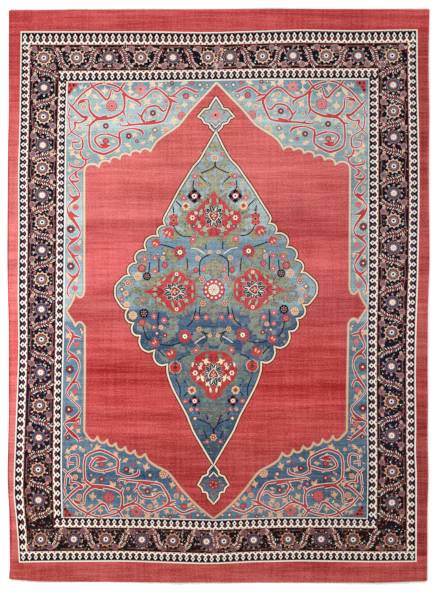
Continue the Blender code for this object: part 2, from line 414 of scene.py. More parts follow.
def paint_beads(cartoon, dyes, x, y, reach, count, size, corners=4):
    """A ring of dots around a middle, in a few dyes by turns."""
    for k in range(count):
        cartoon.dot(dyes[k % len(dyes)], *around(x, y, reach, (k + 0.5) / count), size, corners)


def leaf(cartoon, dye, form, base, tip, broad=1.0):
    """A leaf from its base to its tip. A negative breadth turns it over."""
    (x, y), (dx, dy) = base, (tip[0] - base[0], tip[1] - base[1])
    outline = [(t, w * broad) for t, w in LEAVES[form]]
    cartoon.shape(dye, [(x + dx * t - dy * w, y + dy * t + dx * w) for t, w in outline])


# The bands. Each is bounded by lines that wander as the weaver's tension did.
LEFT_LINE = (
    (31, 21), (125, 19.8), (175, 18.2), (225, 18.7), (290, 18), (350, 18.8), (490, 13.4), (510, 15.2),
    (525, 17.3), (563, 19.4),
)
LEFT_FIELD = ((82, 68), (120, 66.8), (330, 64.4), (400, 62.7), (470, 62.1), (517, 63))
RIGHT_LINE = (
    (31, 417.3), (75, 417.5), (150, 419), (200, 419.2), (275, 418), (325, 416.2), (375, 415.4), (425, 416),
    (450, 415.4), (475, 416.6), (563, 416.4),
)
RIGHT_FIELD = ((82, 368.3), (290, 367.8), (320, 367), (390, 366.8), (470, 367.4), (517, 366.6))
HEAD_LINE = ((20, 31.4), (150, 31.4), (210, 32.4), (300, 29.6), (350, 30.4), (418, 29.4))
HEAD_FIELD = ((66, 82.8), (150, 82), (260, 80), (370, 79.8))
FOOT_LINE = (
    (18, 561.9), (60, 561.2), (125, 560.8), (210, 563.6), (250, 561.6), (300, 560.6), (375, 561.6),
    (418, 561.2),
)
FOOT_FIELD = ((62, 516.2), (150, 517.2), (215, 519), (280, 516.6), (340, 516.6), (367, 517.2))


class Side(NamedTuple):
    """One side of the bands: its two bounding lines, where its stripes end as shares between them, and
    whether it runs from head to foot."""

    line: tuple
    field: tuple
    ivory: float
    outer_guard: float
    border: float
    inner_guard: float
    turned: bool


HEAD = Side(HEAD_LINE, HEAD_FIELD, 0.026, 0.255, 0.776, 0.972, False)
FOOT = Side(FOOT_LINE, FOOT_FIELD, 0.030, 0.236, 0.775, 0.980, False)
LEFT = Side(LEFT_LINE, LEFT_FIELD, 0.026, 0.196, 0.815, 0.972, True)
RIGHT = Side(RIGHT_LINE, RIGHT_FIELD, 0.030, 0.196, 0.806, 0.984, True)


def band_point(side, along, share):
    """A place in the bands of a side: along it in squares, and across from its outer line to the field."""
    across = between(side.line, along) * (1 - share) + between(side.field, along) * share
    return (across, along) if side.turned else (along, across)


def band_corner(upright, level, share_upright, share_level):
    """Where a line of an upright side crosses a line of the head or the foot, found in a few steps."""
    start = 60
    x, y = band_point(upright, start, share_upright)[0], band_point(level, start, share_level)[1]
    for _ in range(4):
        x = band_point(upright, y, share_upright)[0]
        y = band_point(level, x, share_level)[1]
    return x, y


def band_frame(pick):
    """The outline of all four sides' lines of one kind, which pick reads from a side."""
    corners = {
        (u, v): band_corner(upright, level, pick(upright), pick(level))
        for u, upright in (("left", LEFT), ("right", RIGHT))
        for v, level in (("head", HEAD), ("foot", FOOT))
    }
    runs = (
        (HEAD, corners["left", "head"][0], corners["right", "head"][0]),
        (RIGHT, corners["right", "head"][1], corners["right", "foot"][1]),
        (FOOT, corners["right", "foot"][0], corners["left", "foot"][0]),
        (LEFT, corners["left", "foot"][1], corners["left", "head"][1]),
    )
    steps = 24
    outline = []
    for side, start, end in runs:
        outline += [band_point(side, start + (end - start) * k / steps, pick(side)) for k in range(steps)]
    return outline


# The reciprocal of the guard stripes, in shares of one repeat and of the stripe across, from its indigo edge.
GUARD_IVORY_FOOT = ((-0.5, 1.0), (-0.5, 0.89), (-0.10, 0.67), (0.10, 0.67), (0.5, 0.89), (0.5, 1.0))
GUARD_IVORY_HEAD = (
    (0.0, 0.06), (0.16, 0.24), (0.35, 0.40), (0.15, 0.58), (0.10, 0.69),
    (-0.10, 0.69), (-0.15, 0.58), (-0.35, 0.40), (-0.16, 0.24),
)

# The dots of one repeat: dye, place along and across, and size along and across.
GUARD_DOTS = (
    ("indigo", 0.0, 0.41, 0.17, 0.12),
    ("brick", -0.5, 0.62, 0.17, 0.12),
    ("rose", -0.5, 0.04, 0.17, 0.07),
    ("indigo", 0.0, 0.92, 0.19, 0.08),
)

# How long a repeat of the guards is in squares, by its place along the side.
LEFT_PITCH = (
    (31, 6.9), (200, 7.2), (250, 8.0), (290, 8.6), (400, 8.4), (470, 8.6), (510, 10.2), (552, 10.0),
)
RIGHT_PITCH = ((31, 7.2), (180, 7.4), (300, 7.7), (400, 8.2), (552, 8.8))
LEVEL_PITCH = ((0, 6.35), (445, 6.3))


def guard_repeats(cartoon, side, start, end, pitch, indigo_share, ivory_share):
    """One run of a guard stripe. Its repeats are as long as the weaver beat them there."""
    places = [start]
    while places[-1] < end:
        places.append(places[-1] + between(pitch, places[-1]))
    spread = (end - start) / (places[-1] - start)
    places = [start + (p - start) * spread for p in places]

    def at(a, b, along, across):
        share = indigo_share + (ivory_share - indigo_share) * across
        return band_point(side, a + (b - a) * (along + 0.5), share)

    for a, b in zip(places, places[1:]):
        cartoon.shape("ivory", [at(a, b, *p) for p in GUARD_IVORY_FOOT])
        cartoon.shape("ivory", [at(a, b, *p) for p in GUARD_IVORY_HEAD])
        for dye, along, across, length, width in GUARD_DOTS:
            if along == 0.0 or a != places[0]:
                corners = ((-1, 0), (0, -1), (1, 0), (0, 1))
                cartoon.shape(dye, [at(a, b, along + length * u, across + width * v) for u, v in corners])


def paint_guard(cartoon, indigo, ivory, inner):
    """One guard stripe between its indigo and ivory lines. Its head and foot run through at the corners."""
    for level in (HEAD, FOOT):
        pick = ivory if inner else indigo
        ends = [band_corner(upright, level, pick(upright), indigo(level))[0] for upright in (LEFT, RIGHT)]
        guard_repeats(cartoon, level, *ends, LEVEL_PITCH, indigo(level), ivory(level))
    for upright, pitch in ((LEFT, LEFT_PITCH), (RIGHT, RIGHT_PITCH)):
        pick = indigo if inner else ivory
        ends = [band_corner(upright, level, indigo(upright), pick(level))[1] for level in (HEAD, FOOT)]
        guard_repeats(cartoon, upright, *ends, pitch, indigo(upright), ivory(upright))


# The rosettes of the main border, by their place along each side: "c" in camel petals and "b" in blue ones.
HEAD_ROSETTES = tuple(zip((44, 77, 109, 141, 173, 208, 230, 262.5, 293, 326, 358, 392), "ccbcbcbcbcbc"))
FOOT_ROSETTES = tuple(zip((41, 74, 106, 142, 173, 206.5, 224, 253.6, 288, 321, 353, 390.6), "cbcbcbcbcbcc"))
LEFT_ROSETTES = tuple(
    zip((87.5, 116.6, 145, 168, 195, 222, 249.6, 279, 309, 339, 372, 405, 437, 469, 499.5), "bcbcbcbcbcbcbcb")
)
RIGHT_ROSETTES = tuple(
    zip((85, 111, 137, 166, 193, 220.5, 247.6, 274, 302, 332, 366, 401, 435, 471, 502), "bcbcbcbcbcbcbcb")
)

BORDER_SIDES = ((HEAD, HEAD_ROSETTES), (FOOT, FOOT_ROSETTES), (LEFT, LEFT_ROSETTES), (RIGHT, RIGHT_ROSETTES))

# A serrated leaf spray that crosses the main border: squares along it, and shares across it.
SPRAY = ((-6.0, 0.13), (-3.4, 0.24), (-0.9, 0.36), (0.0, 0.50), (0.9, 0.66), (3.2, 0.78), (5.8, 0.88))


def border_point(side, along, share):
    """A place in the main border, from its outer edge to its inner one."""
    return band_point(side, along, side.outer_guard + (side.border - side.outer_guard) * share)


def paint_spray(cartoon, side, middle, lean, reach):
    """A feathery leaf spray: a brick midrib with short ivory and rose barbs on both sides."""
    route = curve([border_point(side, middle + a * lean * reach, s) for a, s in SPRAY], 2)
    last = len(route) - 1
    cartoon.line("night", route, [1.0] + [5.2] * (last - 1) + [1.0])
    for k in range(1, last + 1):
        (x0, y0), (x1, y1) = route[k - 1], route[min(k + 1, last)]
        size = math.hypot(x1 - x0, y1 - y0)
        ux, uy = (x1 - x0) / size, (y1 - y0) / size
        x, y = route[k]
        for hand in (-1, 1):
            vx, vy = -uy * hand, ux * hand
            base = (x + vx * 0.9 - ux * 0.4, y + vy * 0.9 - uy * 0.4)
            tip = (x + vx * 2.7 + ux * 1.1, y + vy * 2.7 + uy * 1.1)
            cartoon.line("rose" if k % 4 == 1 else "ivory", [base, tip], 0.75)
    cartoon.line("brick", route, [0.5] + [0.95] * (last - 1) + [0.5])


# The dyes of the small knots between the border's flowers, and how often each falls.
SCATTERED = {"ivory": 20, "camel": 13, "rose": 12, "brick": 17, "umber": 18, "sage": 11, "steel": 9}
BROAD_KNOTS = ("umber", "sage", "brick")
KNOTS_PER_SQUARE = 2.9

# The gap beyond the first and the last rosette of an upright side, with a spray in its middle.
CORNER_GAP = 31

# Head rosettes whose ring flower on one hand, 1 to the right, stands at the border's other edge.
TURNED_IN = ((44, 1), (392, -1))


def scatter_knots(cartoon, rng):
    """Single knots on the border's dark ground, clear of the rosettes."""
    clear = 8.0
    taken = [border_point(side, along, 0.5) for side, rosettes in BORDER_SIDES for along, _ in rosettes]
    for side, rosettes in BORDER_SIDES:
        first, last = rosettes[0][0], rosettes[-1][0]
        if side.turned:
            first, last = first - 24, last + 24
        for _ in range(int((last - first + 30) * KNOTS_PER_SQUARE)):
            x, y = border_point(side, rng.uniform(first - 15, last + 15), rng.uniform(0.05, 0.95))
            if any((x - u) ** 2 + (y - v) ** 2 < clear**2 for u, v in taken):
                continue
            dye = rng.choices(list(SCATTERED), list(SCATTERED.values()))[0]
            size = rng.uniform(0.45, 0.7) * (1.5 if dye in BROAD_KNOTS else 1.0)
            cartoon.dot(dye, x, y, size, 4, rng.uniform(0, 1.5))


def paint_stems(cartoon, side, rosettes):
    """The stems along both edges of the border, and a spray in each gap between two rosettes."""
    places = [along for along, _ in rosettes]
    middles = [(a + b) / 2 for a, b in zip(places, places[1:])]
    gaps = [b - a for a, b in zip(places, places[1:])]
    if side.turned:
        middles = [places[0] - CORNER_GAP / 2, *middles, places[-1] + CORNER_GAP / 2]
        gaps = [CORNER_GAP, *gaps, CORNER_GAP]
    stem = [places[0] - 8, *middles, places[-1] + 8]
    for share in (0.115, 0.89):
        for a, b in zip(stem, stem[1:]):
            span = [a + 3.5 + (b - a - 7.0) * k / 4 for k in range(5)]
            cartoon.line("umber", [border_point(side, p, share + 0.02 * math.sin(p)) for p in span], 0.9)
    for k, (middle, gap) in enumerate(zip(middles, gaps)):
        paint_spray(cartoon, side, middle, 1 if k % 2 == 0 else -1, min(1.0, gap / 30))


def paint_ring_flowers(cartoon, side, rosettes):
    """The small flowers and a sage bud at both hands of each rosette."""
    for along, kind in rosettes:
        outward = (kind == "b") == side.turned
        share = 0.17 if outward else 0.83
        for hand in (-1, 1):
            turned_in = side is HEAD and (along, hand) in TURNED_IN
            x, y = border_point(side, along + 9.3 * hand, 1 - share if turned_in else share)
            flower(cartoon, "ring", x, y, 3.2, 0.39)
            x, y = border_point(side, along + 13.6 * hand, share - 0.02 + 0.04 * outward)
            flower(cartoon, "small_camel", x, y, 1.8)
            x, y = border_point(side, along + 7.4 * hand, 0.30 if outward else 0.70)
            cartoon.dot("sage", x, y, 1.5, 3, hand)


def paint_rosettes(cartoon, rng, side, rosettes):
    """The rosettes of one side, each in its ring of beads."""
    for along, kind in rosettes:
        x, y = border_point(side, along, 0.5)
        turn = rng.uniform(0, 0.4)
        if kind == "c":
            paint_beads(cartoon, ("ivory", "steel", "rose"), x, y, 9.7, 9, 0.85)
            flower(cartoon, "camel_rosette", x, y, 8.4, turn, 0.95)
        else:
            paint_beads(cartoon, ("camel", "rose"), x, y, 8.3, 10, 1.15, 5)
            flower(cartoon, "blue_rosette", x, y, 7.7, turn, 0.95)


def paint_border(cartoon, rng):
    """The main border: rosettes on a dark ground, with ring flowers, sprays, stems and scattered knots."""
    scatter_knots(cartoon, rng)
    for side, rosettes in BORDER_SIDES:
        paint_stems(cartoon, side, rosettes)
    for side, rosettes in BORDER_SIDES:
        paint_ring_flowers(cartoon, side, rosettes)
    for side, rosettes in BORDER_SIDES:
        paint_rosettes(cartoon, rng, side, rosettes)


def scallops(cusps, depth):
    """Soft runs that bulge out between cusps, by a share of the distance between them."""
    runs = []
    for (ax, ay), (bx, by) in zip(cusps, cusps[1:]):
        dx, dy = bx - ax, by - ay
        out = ((0.2, 0.7 * depth), (0.55, depth), (0.86, 0.7 * depth))
        runs.append(((ax, ay), *((ax + dx * t + dy * w, ay + dy * t - dx * w) for t, w in out), (bx, by)))
    return runs


SPANDREL_CUSPS = (
    (150.5, 151.5), (140.5, 152.5), (130.5, 155.5), (120, 159), (110, 162), (99.5, 167), (84.5, 171.5),
)

# The cream line around the red field, down its left half, as soft runs that meet in cusps.
FIELD_EDGE = (
    ((216.5, 82.5), (205, 95), (190, 111), (178.5, 125.5), (166, 134), (156, 142), (150.5, 151.5)),
    *scallops(SPANDREL_CUSPS, -0.36),
    ((84.5, 171.5), (84.5, 230)),
    ((84.5, 230), (84.5, 290)),
    ((84.5, 290), (83, 295.5), (79.5, 297), (75.5, 292.5)),
    ((75.5, 292.5), (73.5, 299), (70, 305.5), (66.5, 310.5)),
    ((66.5, 310.5), (70.5, 317), (74, 322), (75.5, 326)),
    ((75.5, 326), (77.5, 322.5), (81.5, 322), (85, 326.5)),
    ((85, 326.5), (85, 380)),
    ((85, 380), (84.5, 431)),
    ((84.5, 431), (87.5, 435.5), (91, 439.5), (95, 440), (98, 435.5)),
    *scallops(((98, 435.5), (107.5, 439), (116, 442.5), (125.5, 446), (135, 449.5), (145, 453)), -0.5),
    (
        (145, 453), (148.5, 460), (157, 466), (167, 471), (173, 477.5), (181, 488), (191, 499), (201, 508.5),
        (213.5, 518),
    ),
)
FIELD_AXIS = ((82, 216.7), (171, 217.2), (300, 216.9), (431, 215.6), (455, 213.6), (519, 213.6))
FIELD_RIGHT_DROP = ((82, -2), (220, -2.4), (300, -3.5), (340, -3.4), (430, -0.6), (500, -1.6), (519, -1))

# The cream line around the medallion, down its left half, in the same way.
MEDALLION_EDGE = (
    (
        (216, 131.5), (210.5, 141), (203.5, 153), (199.5, 160), (193.5, 166.5), (187, 177), (179, 190),
        (171.5, 204), (166, 214), (163.5, 220), (165.5, 225.5),
    ),
    *scallops(((165.5, 225.5), (159, 236), (146.5, 250), (137, 262.5), (130.5, 275.5)), -0.38),
    (
        (130.5, 275.5), (125.5, 275.5), (120, 280.5), (115.5, 286), (115.5, 296), (119, 302.5), (123.5, 308),
        (129, 308),
    ),
    *scallops(((129, 308), (134, 322.5), (140.5, 335), (155, 349.5), (167.5, 363.5)), -0.4),
    (
        (167.5, 363.5), (167.5, 372.5), (172, 386), (177, 396), (182, 405.5), (187.5, 416), (193, 430),
        (199, 440.5), (206, 452.5), (213.5, 465),
    ),
)
MEDALLION_AXIS = (
    (97, 216), (131, 216), (150, 215), (222, 217.2), (275, 215.4), (292, 216.2), (335, 214.6), (444, 213.2),
    (504, 213.6),
)
MOTIF_AXIS = ((97, 215.8), (290, 213.9), (504, 213.6))
MEDALLION_RIGHT_DROP = (
    (97, 0), (200, -1.5), (225, -2.8), (300, -3.2), (320, -4.4), (350, -4.2), (380, -2.5), (440, -0.6),
    (504, 0),
)
HEAD_PENDANT_EDGE = (
    ((216, 97), (210, 106)),
    ((210, 106), (209, 108.5), (204.5, 109)),
    ((204.5, 109), (197.5, 117)),
    ((197.5, 117), (202, 118.5), (204.5, 123)),
    ((204.5, 123), (209, 124), (210, 127)),
    ((210, 127), (216, 133)),
)
FOOT_PENDANT_EDGE = (
    ((213.5, 463.5), (208, 470.5)),
    ((208, 470.5), (207.5, 474), (203, 475.5)),
    ((203, 475.5), (198, 484.5)),
    ((198, 484.5), (201.5, 487), (203, 491.5)),
    ((203, 491.5), (207, 492), (208, 497)),
    ((208, 497), (213.5, 503.5)),
)


# A right half moves up or down by its full measure this many squares from the axis.
FULL_DROP_REACH = 75


class Copy(NamedTuple):
    """Which copy of a quarter or a half of the design is drawn, and by which tables it is moved."""

    right: bool
    lower: bool
    axis: tuple
    right_drop: tuple

    def at(self, x, y):
        """The place of a point of the upper left quarter in this copy."""
        if self.lower:
            x, y = between(SPANDREL_LOWER_COLUMNS, x), between(SPANDREL_LOWER_ROWS, y)
        if self.right:
            x = 2 * between(self.axis, y) - x
            reach = min(1.0, max(0.0, (x - between(self.axis, y)) / FULL_DROP_REACH))
            y += between(self.right_drop, y) * reach * reach * (3 - 2 * reach)
        return x, y

    @property
    def hand(self):
        """Whether the copy is turned over."""
        return -1 if self.right != self.lower else 1


def both_halves(runs, axis, drop):
    """A closed outline from the soft runs of its left half and the mirror image of them."""
    edge = [point for run in runs for point in curve(run, 2)[:-1]] + [runs[-1][-1]]
    mirror = Copy(True, False, axis, drop)
    return edge + [mirror.at(*point) for point in edge[-2:0:-1]]


# The spandrels, drawn for the upper left corner. Vines are (column, row, width).
SPANDREL_VINES = (
    (
        (68, 102, 1), (72, 106.5, 1.5), (82.5, 116.5, 2), (87, 117, 2.5), (84, 121, 1.5), (79, 123, 1),
        (75, 122.5, 2), (75, 128, 1), (67, 136.5, 1),
    ),
    (
        (72, 106.5, 1), (79, 98, 1.5), (85, 92, 1.5), (97, 84.5, 1.5), (106, 83.5, 1.5), (119, 87.5, 1.5),
        (128, 96.5, 2), (140, 99.5, 1.5), (151, 90.5, 1.5), (156, 89, 1.5), (161, 91, 1.5),
        (169.5, 99.5, 2), (170.5, 105, 2), (166, 116.5, 1.5), (162, 121.5, 1.5), (150, 123.5, 2),
        (140, 124, 1.5), (130, 125, 1.5), (122.5, 126, 1), (120, 124, 1),
    ),
    (
        (90, 82.5, 1.5), (94, 88, 1.5), (99, 92, 1.5), (106, 99.5, 2), (109.5, 97, 1.5), (112, 89, 1),
        (115, 91, 1.5), (119, 91, 1.5), (125, 82.5, 1.5),
    ),
    ((133, 99, 1.5), (140.5, 103.5, 1.5), (140, 106.5, 1)),
    (
        (123, 93, 3), (124.5, 98, 2), (123.5, 110.5, 1.5), (112, 117.5, 2), (98, 118, 2.5), (90, 110, 1.5),
        (88.5, 100, 1), (80, 101, 1), (78.5, 105.5, 1),
    ),
    ((123.5, 109, 1.5), (124, 113, 1.5), (126, 117, 0.5)),
    ((78.5, 103.5, 1), (82, 101.5, 2.5), (85.5, 101.5, 1)),
    (
        (107, 116, 1.5), (103, 118, 3.5), (97, 119.5, 2), (91.5, 123.5, 1.5), (89.5, 130, 1.5),
        (90.5, 147.5, 1.5), (101.5, 153.5, 2), (108, 153, 2), (119, 146.5, 1.5), (120, 140, 2),
        (120, 132.5, 1.5), (131, 128.5, 1), (142, 131, 2), (143, 136, 0.5),
    ),
    ((96, 119.5, 1.5), (91, 124.5, 1.5), (86, 125.5, 1)), ((120, 133, 1), (118.5, 130.5, 0.5)),
    (
        (119.5, 138.5, 1), (113, 135.5, 1.5), (105, 134, 1), (98, 136, 1.5), (95, 140, 1.5),
        (100, 147, 1.5), (106, 147.5, 1.5), (111, 145, 1),
    ),
    ((100.5, 144.5, 2), (105, 145.5, 3), (109.5, 145.5, 1.5)), ((107.5, 131.5, 0.5), (109, 134, 1)),
    (
        (145, 122.5, 2), (141.5, 117, 1.5), (147, 108, 1.5), (157, 106, 1.5), (162.5, 111, 1.5),
        (166, 110, 1), (167, 107, 0.5),
    ),
    ((141.5, 117, 1.5), (137.5, 113, 1)), ((146, 122.5, 1.5), (151, 122, 2.5), (155.5, 120.5, 2)),
    ((132, 125, 1), (128.5, 123, 1), (127.5, 121, 0.5)),
    ((168, 95.5, 1), (173, 96, 1.5), (182, 89, 1.5), (187, 88, 1.5), (195, 91.5, 2), (198, 92, 1)),
    ((172, 96, 1.5), (177.5, 97.5, 1)), ((169.5, 98.5, 1.5), (173, 101, 2), (177.5, 102.5, 1)),
    (
        (70.5, 108, 1), (69, 113, 1), (70, 127, 1), (72.5, 132.5, 1), (81.5, 138, 1), (83, 143, 1.5),
        (82, 149, 1.5), (77, 149.5, 1), (73, 147, 1), (72, 138, 0.5),
    ),
    ((73, 142.5, 1.5), (78.5, 142, 1)), ((155.5, 87.5, 1), (157, 88.5, 2)),
)

# Leaves by form, each from its base to its tip, and flowers by kind, each with its place and size.
SPANDREL_LEAVES = {
    "fleur": (
        (80, 90, 83, 84), (71, 100, 72, 94), (105, 95, 105, 86), (113, 100, 115, 92), (97, 103, 98, 113),
        (131, 88, 129, 80), (131, 88, 130, 96), (130, 102, 135, 110), (144, 105, 151, 98),
        (150, 88, 156, 80), (158, 82, 163, 88), (166, 91, 172, 87), (156, 103, 162, 100),
        (184, 101, 185, 109), (117, 115, 113, 125), (91, 117, 87, 123), (73, 118, 79, 117),
        (173, 116, 175, 125), (133, 138, 137, 131), (151, 134, 153, 143), (68, 148, 74, 148),
        (69, 151, 76, 155), (116, 153, 120, 148), (98, 155, 106, 158), (166, 144, 170, 139),
    ),
    "barb": (
        (86, 98, 92, 89), (92, 94, 98, 99), (101, 104, 107, 102), (133, 96, 139, 95), (158, 94, 162, 99),
        (188, 97, 195, 101), (95, 122, 100, 127), (81, 137, 87, 133), (110, 141, 116, 142),
        (124, 143, 131, 147), (140, 144, 146, 142), (74, 154, 82, 159), (147, 117, 152, 118),
        (180, 85, 188, 82), (103, 141, 99, 139), (87, 85, 84, 89),
    ),
    "plain": ((119, 108, 122, 106), (157, 114, 161, 116), (114, 104, 111, 107), (160, 112, 157, 110)),
}
SPANDREL_FLOWERS = {
    "star": ((141, 89, 6.6),),
    "rose_round": ((112, 106, 6), (182, 116, 4.8)),
    "camel_round": (
        (84, 107, 3.4), (155, 96, 2.9), (177, 89, 2.5), (178, 108, 3), (131, 116, 2.1), (80, 128, 3),
        (105, 83, 2.4),
    ),
    "dark_round": ((106, 126, 3.2), (129, 136, 3.1), (153, 113, 3.2)),
    "dark_bud": (
        (96, 130, 1.9), (155, 130, 3.2), (196, 96, 2.6), (190, 104, 1.8), (69, 117, 2.2), (200, 85, 3),
        (207, 85, 2.2), (166, 83, 2), (167, 88, 1.2),
    ),
    "red_small": ((106, 141, 3.2), (137, 141, 2), (186, 96, 3.3), (192, 83, 2.2)),
    "rose_small": ((166, 101, 2), (122, 120, 1.8), (146, 112, 1.6)),
    "camel_dots": ((166, 131, 4.6), (88, 154, 2)),
    "dark_petals": ((172, 83, 2.4),),
}
# The red flower in the ground's corner, of which a quarter shows.
CORNER_ROSE = ((68, 82.4), (78.5, 83), (77, 86.5), (73.6, 88.2), (72.6, 91), (70, 94.6), (68, 95))
# Where the rows and columns of the upper left corner lie in the lower one, which has its own spacing.
SPANDREL_LOWER_ROWS = (
    (80, 519), (90, 510), (99.5, 503.4), (106, 497), (123.5, 481.4), (129, 475.5), (141, 464), (171, 431),
)
SPANDREL_LOWER_COLUMNS = (
    (60, 56.5), (89.5, 84.7), (106, 101.8), (120, 118.4), (140, 136.2), (151, 145.2), (169.5, 168),
    (216, 213.5),
)

# The side strips, drawn for the left side.
STRIP_VINES = (
    ((82, 149, 1), (80.5, 153, 1.5), (82.5, 157.5, 2), (86, 159.5, 1.5), (90.5, 158, 1)),
    ((85.5, 159.5, 1.5), (86, 163, 1.5), (81.5, 167.5, 1.5), (71, 166, 1.5), (69.5, 161.5, 0.5)),
    (
        (83, 167.5, 1), (71, 176, 1), (70.5, 180, 1.5), (78.5, 190, 1), (79.5, 196, 1.5),
        (75.5, 199.5, 2.5), (70, 204, 1), (67.5, 210, 1), (71, 216.5, 3), (77.5, 225.5, 2), (80.5, 232, 1),
        (78.5, 237.5, 1.5), (72, 242, 2.5), (68, 247, 1), (70.5, 252, 2), (76.5, 261.5, 2), (79.5, 268, 1),
        (77.5, 274, 2), (71, 282, 2), (67.5, 289.5, 1), (68, 294, 1), (70.5, 297.5, 0.5),
    ),
    ((71, 181, 2), (76, 181.5, 2), (79.5, 180, 1)), ((78, 196, 2.5), (73, 197.5, 2), (69, 193.5, 1)),
    ((76.5, 171, 1.5), (76, 176, 2), (80.5, 178.5, 0.5)),
    ((70.5, 211.5, 2), (74.5, 215.5, 2.5), (79, 216.5, 1)),
    ((77.5, 237.5, 2.5), (72.5, 239.5, 2), (68, 236, 1)),
    ((70.5, 251.5, 2), (74.5, 255.5, 2), (80, 254.5, 0.5)),
    ((78.5, 274.5, 2.5), (72.5, 276.5, 2), (67.5, 271.5, 0.5)),
    (
        (66, 325, 1), (70, 330, 1), (73.5, 335.5, 2.5), (68, 349, 1), (72.5, 354.5, 2.5), (77.5, 359, 2),
        (79.5, 364.5, 1), (79, 370, 1), (75.5, 378, 2), (71, 384.5, 2), (67, 393.5, 1), (79.5, 407, 1),
        (79, 413, 1.5), (73.5, 418.5, 3), (66.5, 421.5, 1.5), (65, 424.5, 1), (73, 433.5, 3),
        (77.5, 437.5, 2), (79, 441, 1),
    ),
    ((72.5, 336.5, 2), (76.5, 336.5, 2), (81.5, 338, 1)), ((77, 358, 2), (71, 356.5, 2), (67.5, 361, 1)),
    ((72, 382.5, 2), (77.5, 382, 1.5), (80, 388, 1)),
    ((69, 420.5, 2), (76, 420.5, 2), (79.5, 418, 1.5), (80, 424, 0.5)),
    ((72, 431, 2), (68, 431.5, 1.5), (65, 436, 1)), ((83, 438, 2), (79.5, 439, 1)),
)
STRIP_LEAVES = {
    "fleur": (
        (71, 207, 77, 199), (69, 167, 71, 173), (68, 257, 72, 262), (67, 292, 70, 299), (66, 332, 71, 339),
        (77, 354, 81, 349), (67, 376, 71, 382), (71, 391, 74, 397), (73, 396, 79, 400), (66, 414, 70, 420),
        (76, 428, 81, 433),
    ),
    "barb": (
        (68, 224, 73, 219), (79, 254, 81, 260), (76, 284, 78, 277), (79, 246, 81, 240), (71, 186, 68, 184),
        (74, 424, 70, 430), (82, 329, 82, 334), (66, 273, 70, 279), (74, 342, 70, 336),
    ),
}
STRIP_FLOWERS = {
    "rose_round": (
        (76, 207, 3.4), (77, 248, 3.4), (75, 288, 3.2), (77, 344, 3.2), (75, 391, 3.2), (76, 425, 3.4),
    ),
    "dark_petals": ((71, 229, 4.5), (71, 266, 4.3), (70, 369, 4.7), (69, 409, 4.5)),
    "camel_round": ((71, 190, 2.6), (77, 162, 2.6)),
    "dark_bud": ((81, 329, 2.2),),
    "dark_round": ((68, 437, 2.6),),
    "rose_small": ((77, 227, 1),),
}

# The medallion, drawn for its left half.
MEDALLION_FLOWERS = {
    "rose_small": (
        (184, 198, 3.2), (197, 184, 2.4), (195, 176, 3.2), (193, 239, 3.6), (145, 259, 3.2),
        (155, 258, 2.9), (155, 271, 3.2), (204, 269, 2.6), (122, 299, 2.6), (142, 300, 2), (154, 316, 3.1),
        (164, 320, 3.2), (197, 317, 3), (206, 317, 3), (154, 327, 2.7), (196, 350, 3.5), (185, 401, 2.7),
        (197, 409, 2.4), (207, 441, 2.2), (208, 154, 2.3), (151, 246, 0.9),
    ),
    "camel_tulip": ((186, 206, 4.6), (192, 390, 4.6)),
    "camel_round": (
        (188, 184, 2.2), (163, 258, 2.6), (198, 258, 2.9), (210, 252, 2.3), (126, 293, 3), (161, 327, 2.7),
        (210, 335, 2.2), (191, 409, 2),
    ),
    "madder_star": ((180, 252, 7.4), (185, 336, 7.4)),
    "dark_bud": ((164, 253, 2.6), (158, 254, 1.8), (122, 289, 3), (157, 333, 2.4), (195, 418, 3.2)),
    "red_small": ((165, 265, 3.4), (142, 268, 4.3), (196, 270, 3.1), (142, 322, 4.1)),
    "camel_dots": ((138, 276, 4.4), (127, 304, 3.3), (133, 315, 4.5)),
    "night_petals": ((147, 276, 4.5), (144, 313, 5.1)),
    "red_camel": ((202, 279, 3.5), (203, 303, 3.4), (128, 283, 3.7), (199, 329, 3)),
    "dark_round": ((165, 335, 2.8),),
}
MEDALLION_MIDDLE_FLOWERS = {
    "camel_round": ((215, 158, 4),),
    "red_camel": ((213.5, 437, 3.9),),
}
# Red blossoms: column, row, size, and the way that they open, in degrees.
RED_BLOSSOMS = (
    (168.5, 232.5, 7.0, 60), (156, 243, 5.6, 60), (171, 353.5, 6.6, -60), (155, 342.5, 5.2, -50),
)
# Dark rosettes and red flowers with diamonds: column, row and size, and whether the flower is a full one.
NIGHT_STARS = ((194.4, 196, 6.8), (194.6, 400.6, 5.6))
DIAMOND_ROWS = ((173.6, 220.2, 5.4, False), (175.4, 367.0, 6.0, True))
# Dark stems and ivory ones, and the sage leaves between them, each from its base to its tip.
MEDALLION_STEMS = (
    ((215, 161), (215, 166), (209, 170), (201, 173)), ((194, 180), (193, 187), (196, 191)),
    ((176, 201), (182, 207)), ((173, 206), (174, 214)), ((174, 226), (177, 232), (183, 236), (191, 236)),
    ((160, 244), (168, 246), (177, 249)), ((187, 258), (188, 271)),
    ((200, 280), (200, 262), (206, 256), (211, 254)), ((206, 240), (206, 249)),
    ((159, 258), (159, 272)), ((143, 325), (146, 336), (150, 340)),
    ((160, 344), (171, 345), (181, 342)), ((158, 349), (165, 356)), ((178, 360), (184, 356), (196, 354)),
    ((176, 378), (180, 388), (180, 396)), ((189, 390), (184, 396)),
    ((213, 433), (213, 428), (207, 422), (198, 419)), ((200, 331), (206, 333), (213, 334)),
    ((159, 312), (158, 322), (160, 330)), ((187, 326), (193, 320), (196, 308)), ((200, 306), (199, 316)),
    ((203, 331), (207, 338), (205, 347), (209, 352)),
    ((200, 176), (206, 182)), ((150, 262), (149, 272)), ((206, 414), (210, 424)), ((204, 430), (207, 438)),
    ((196, 408), (200, 414)), ((184, 380), (188, 386)),
)
IVORY_THREADS = (((191, 248), (198, 249), (205, 254)), ((195, 343), (200, 339), (205, 336)))
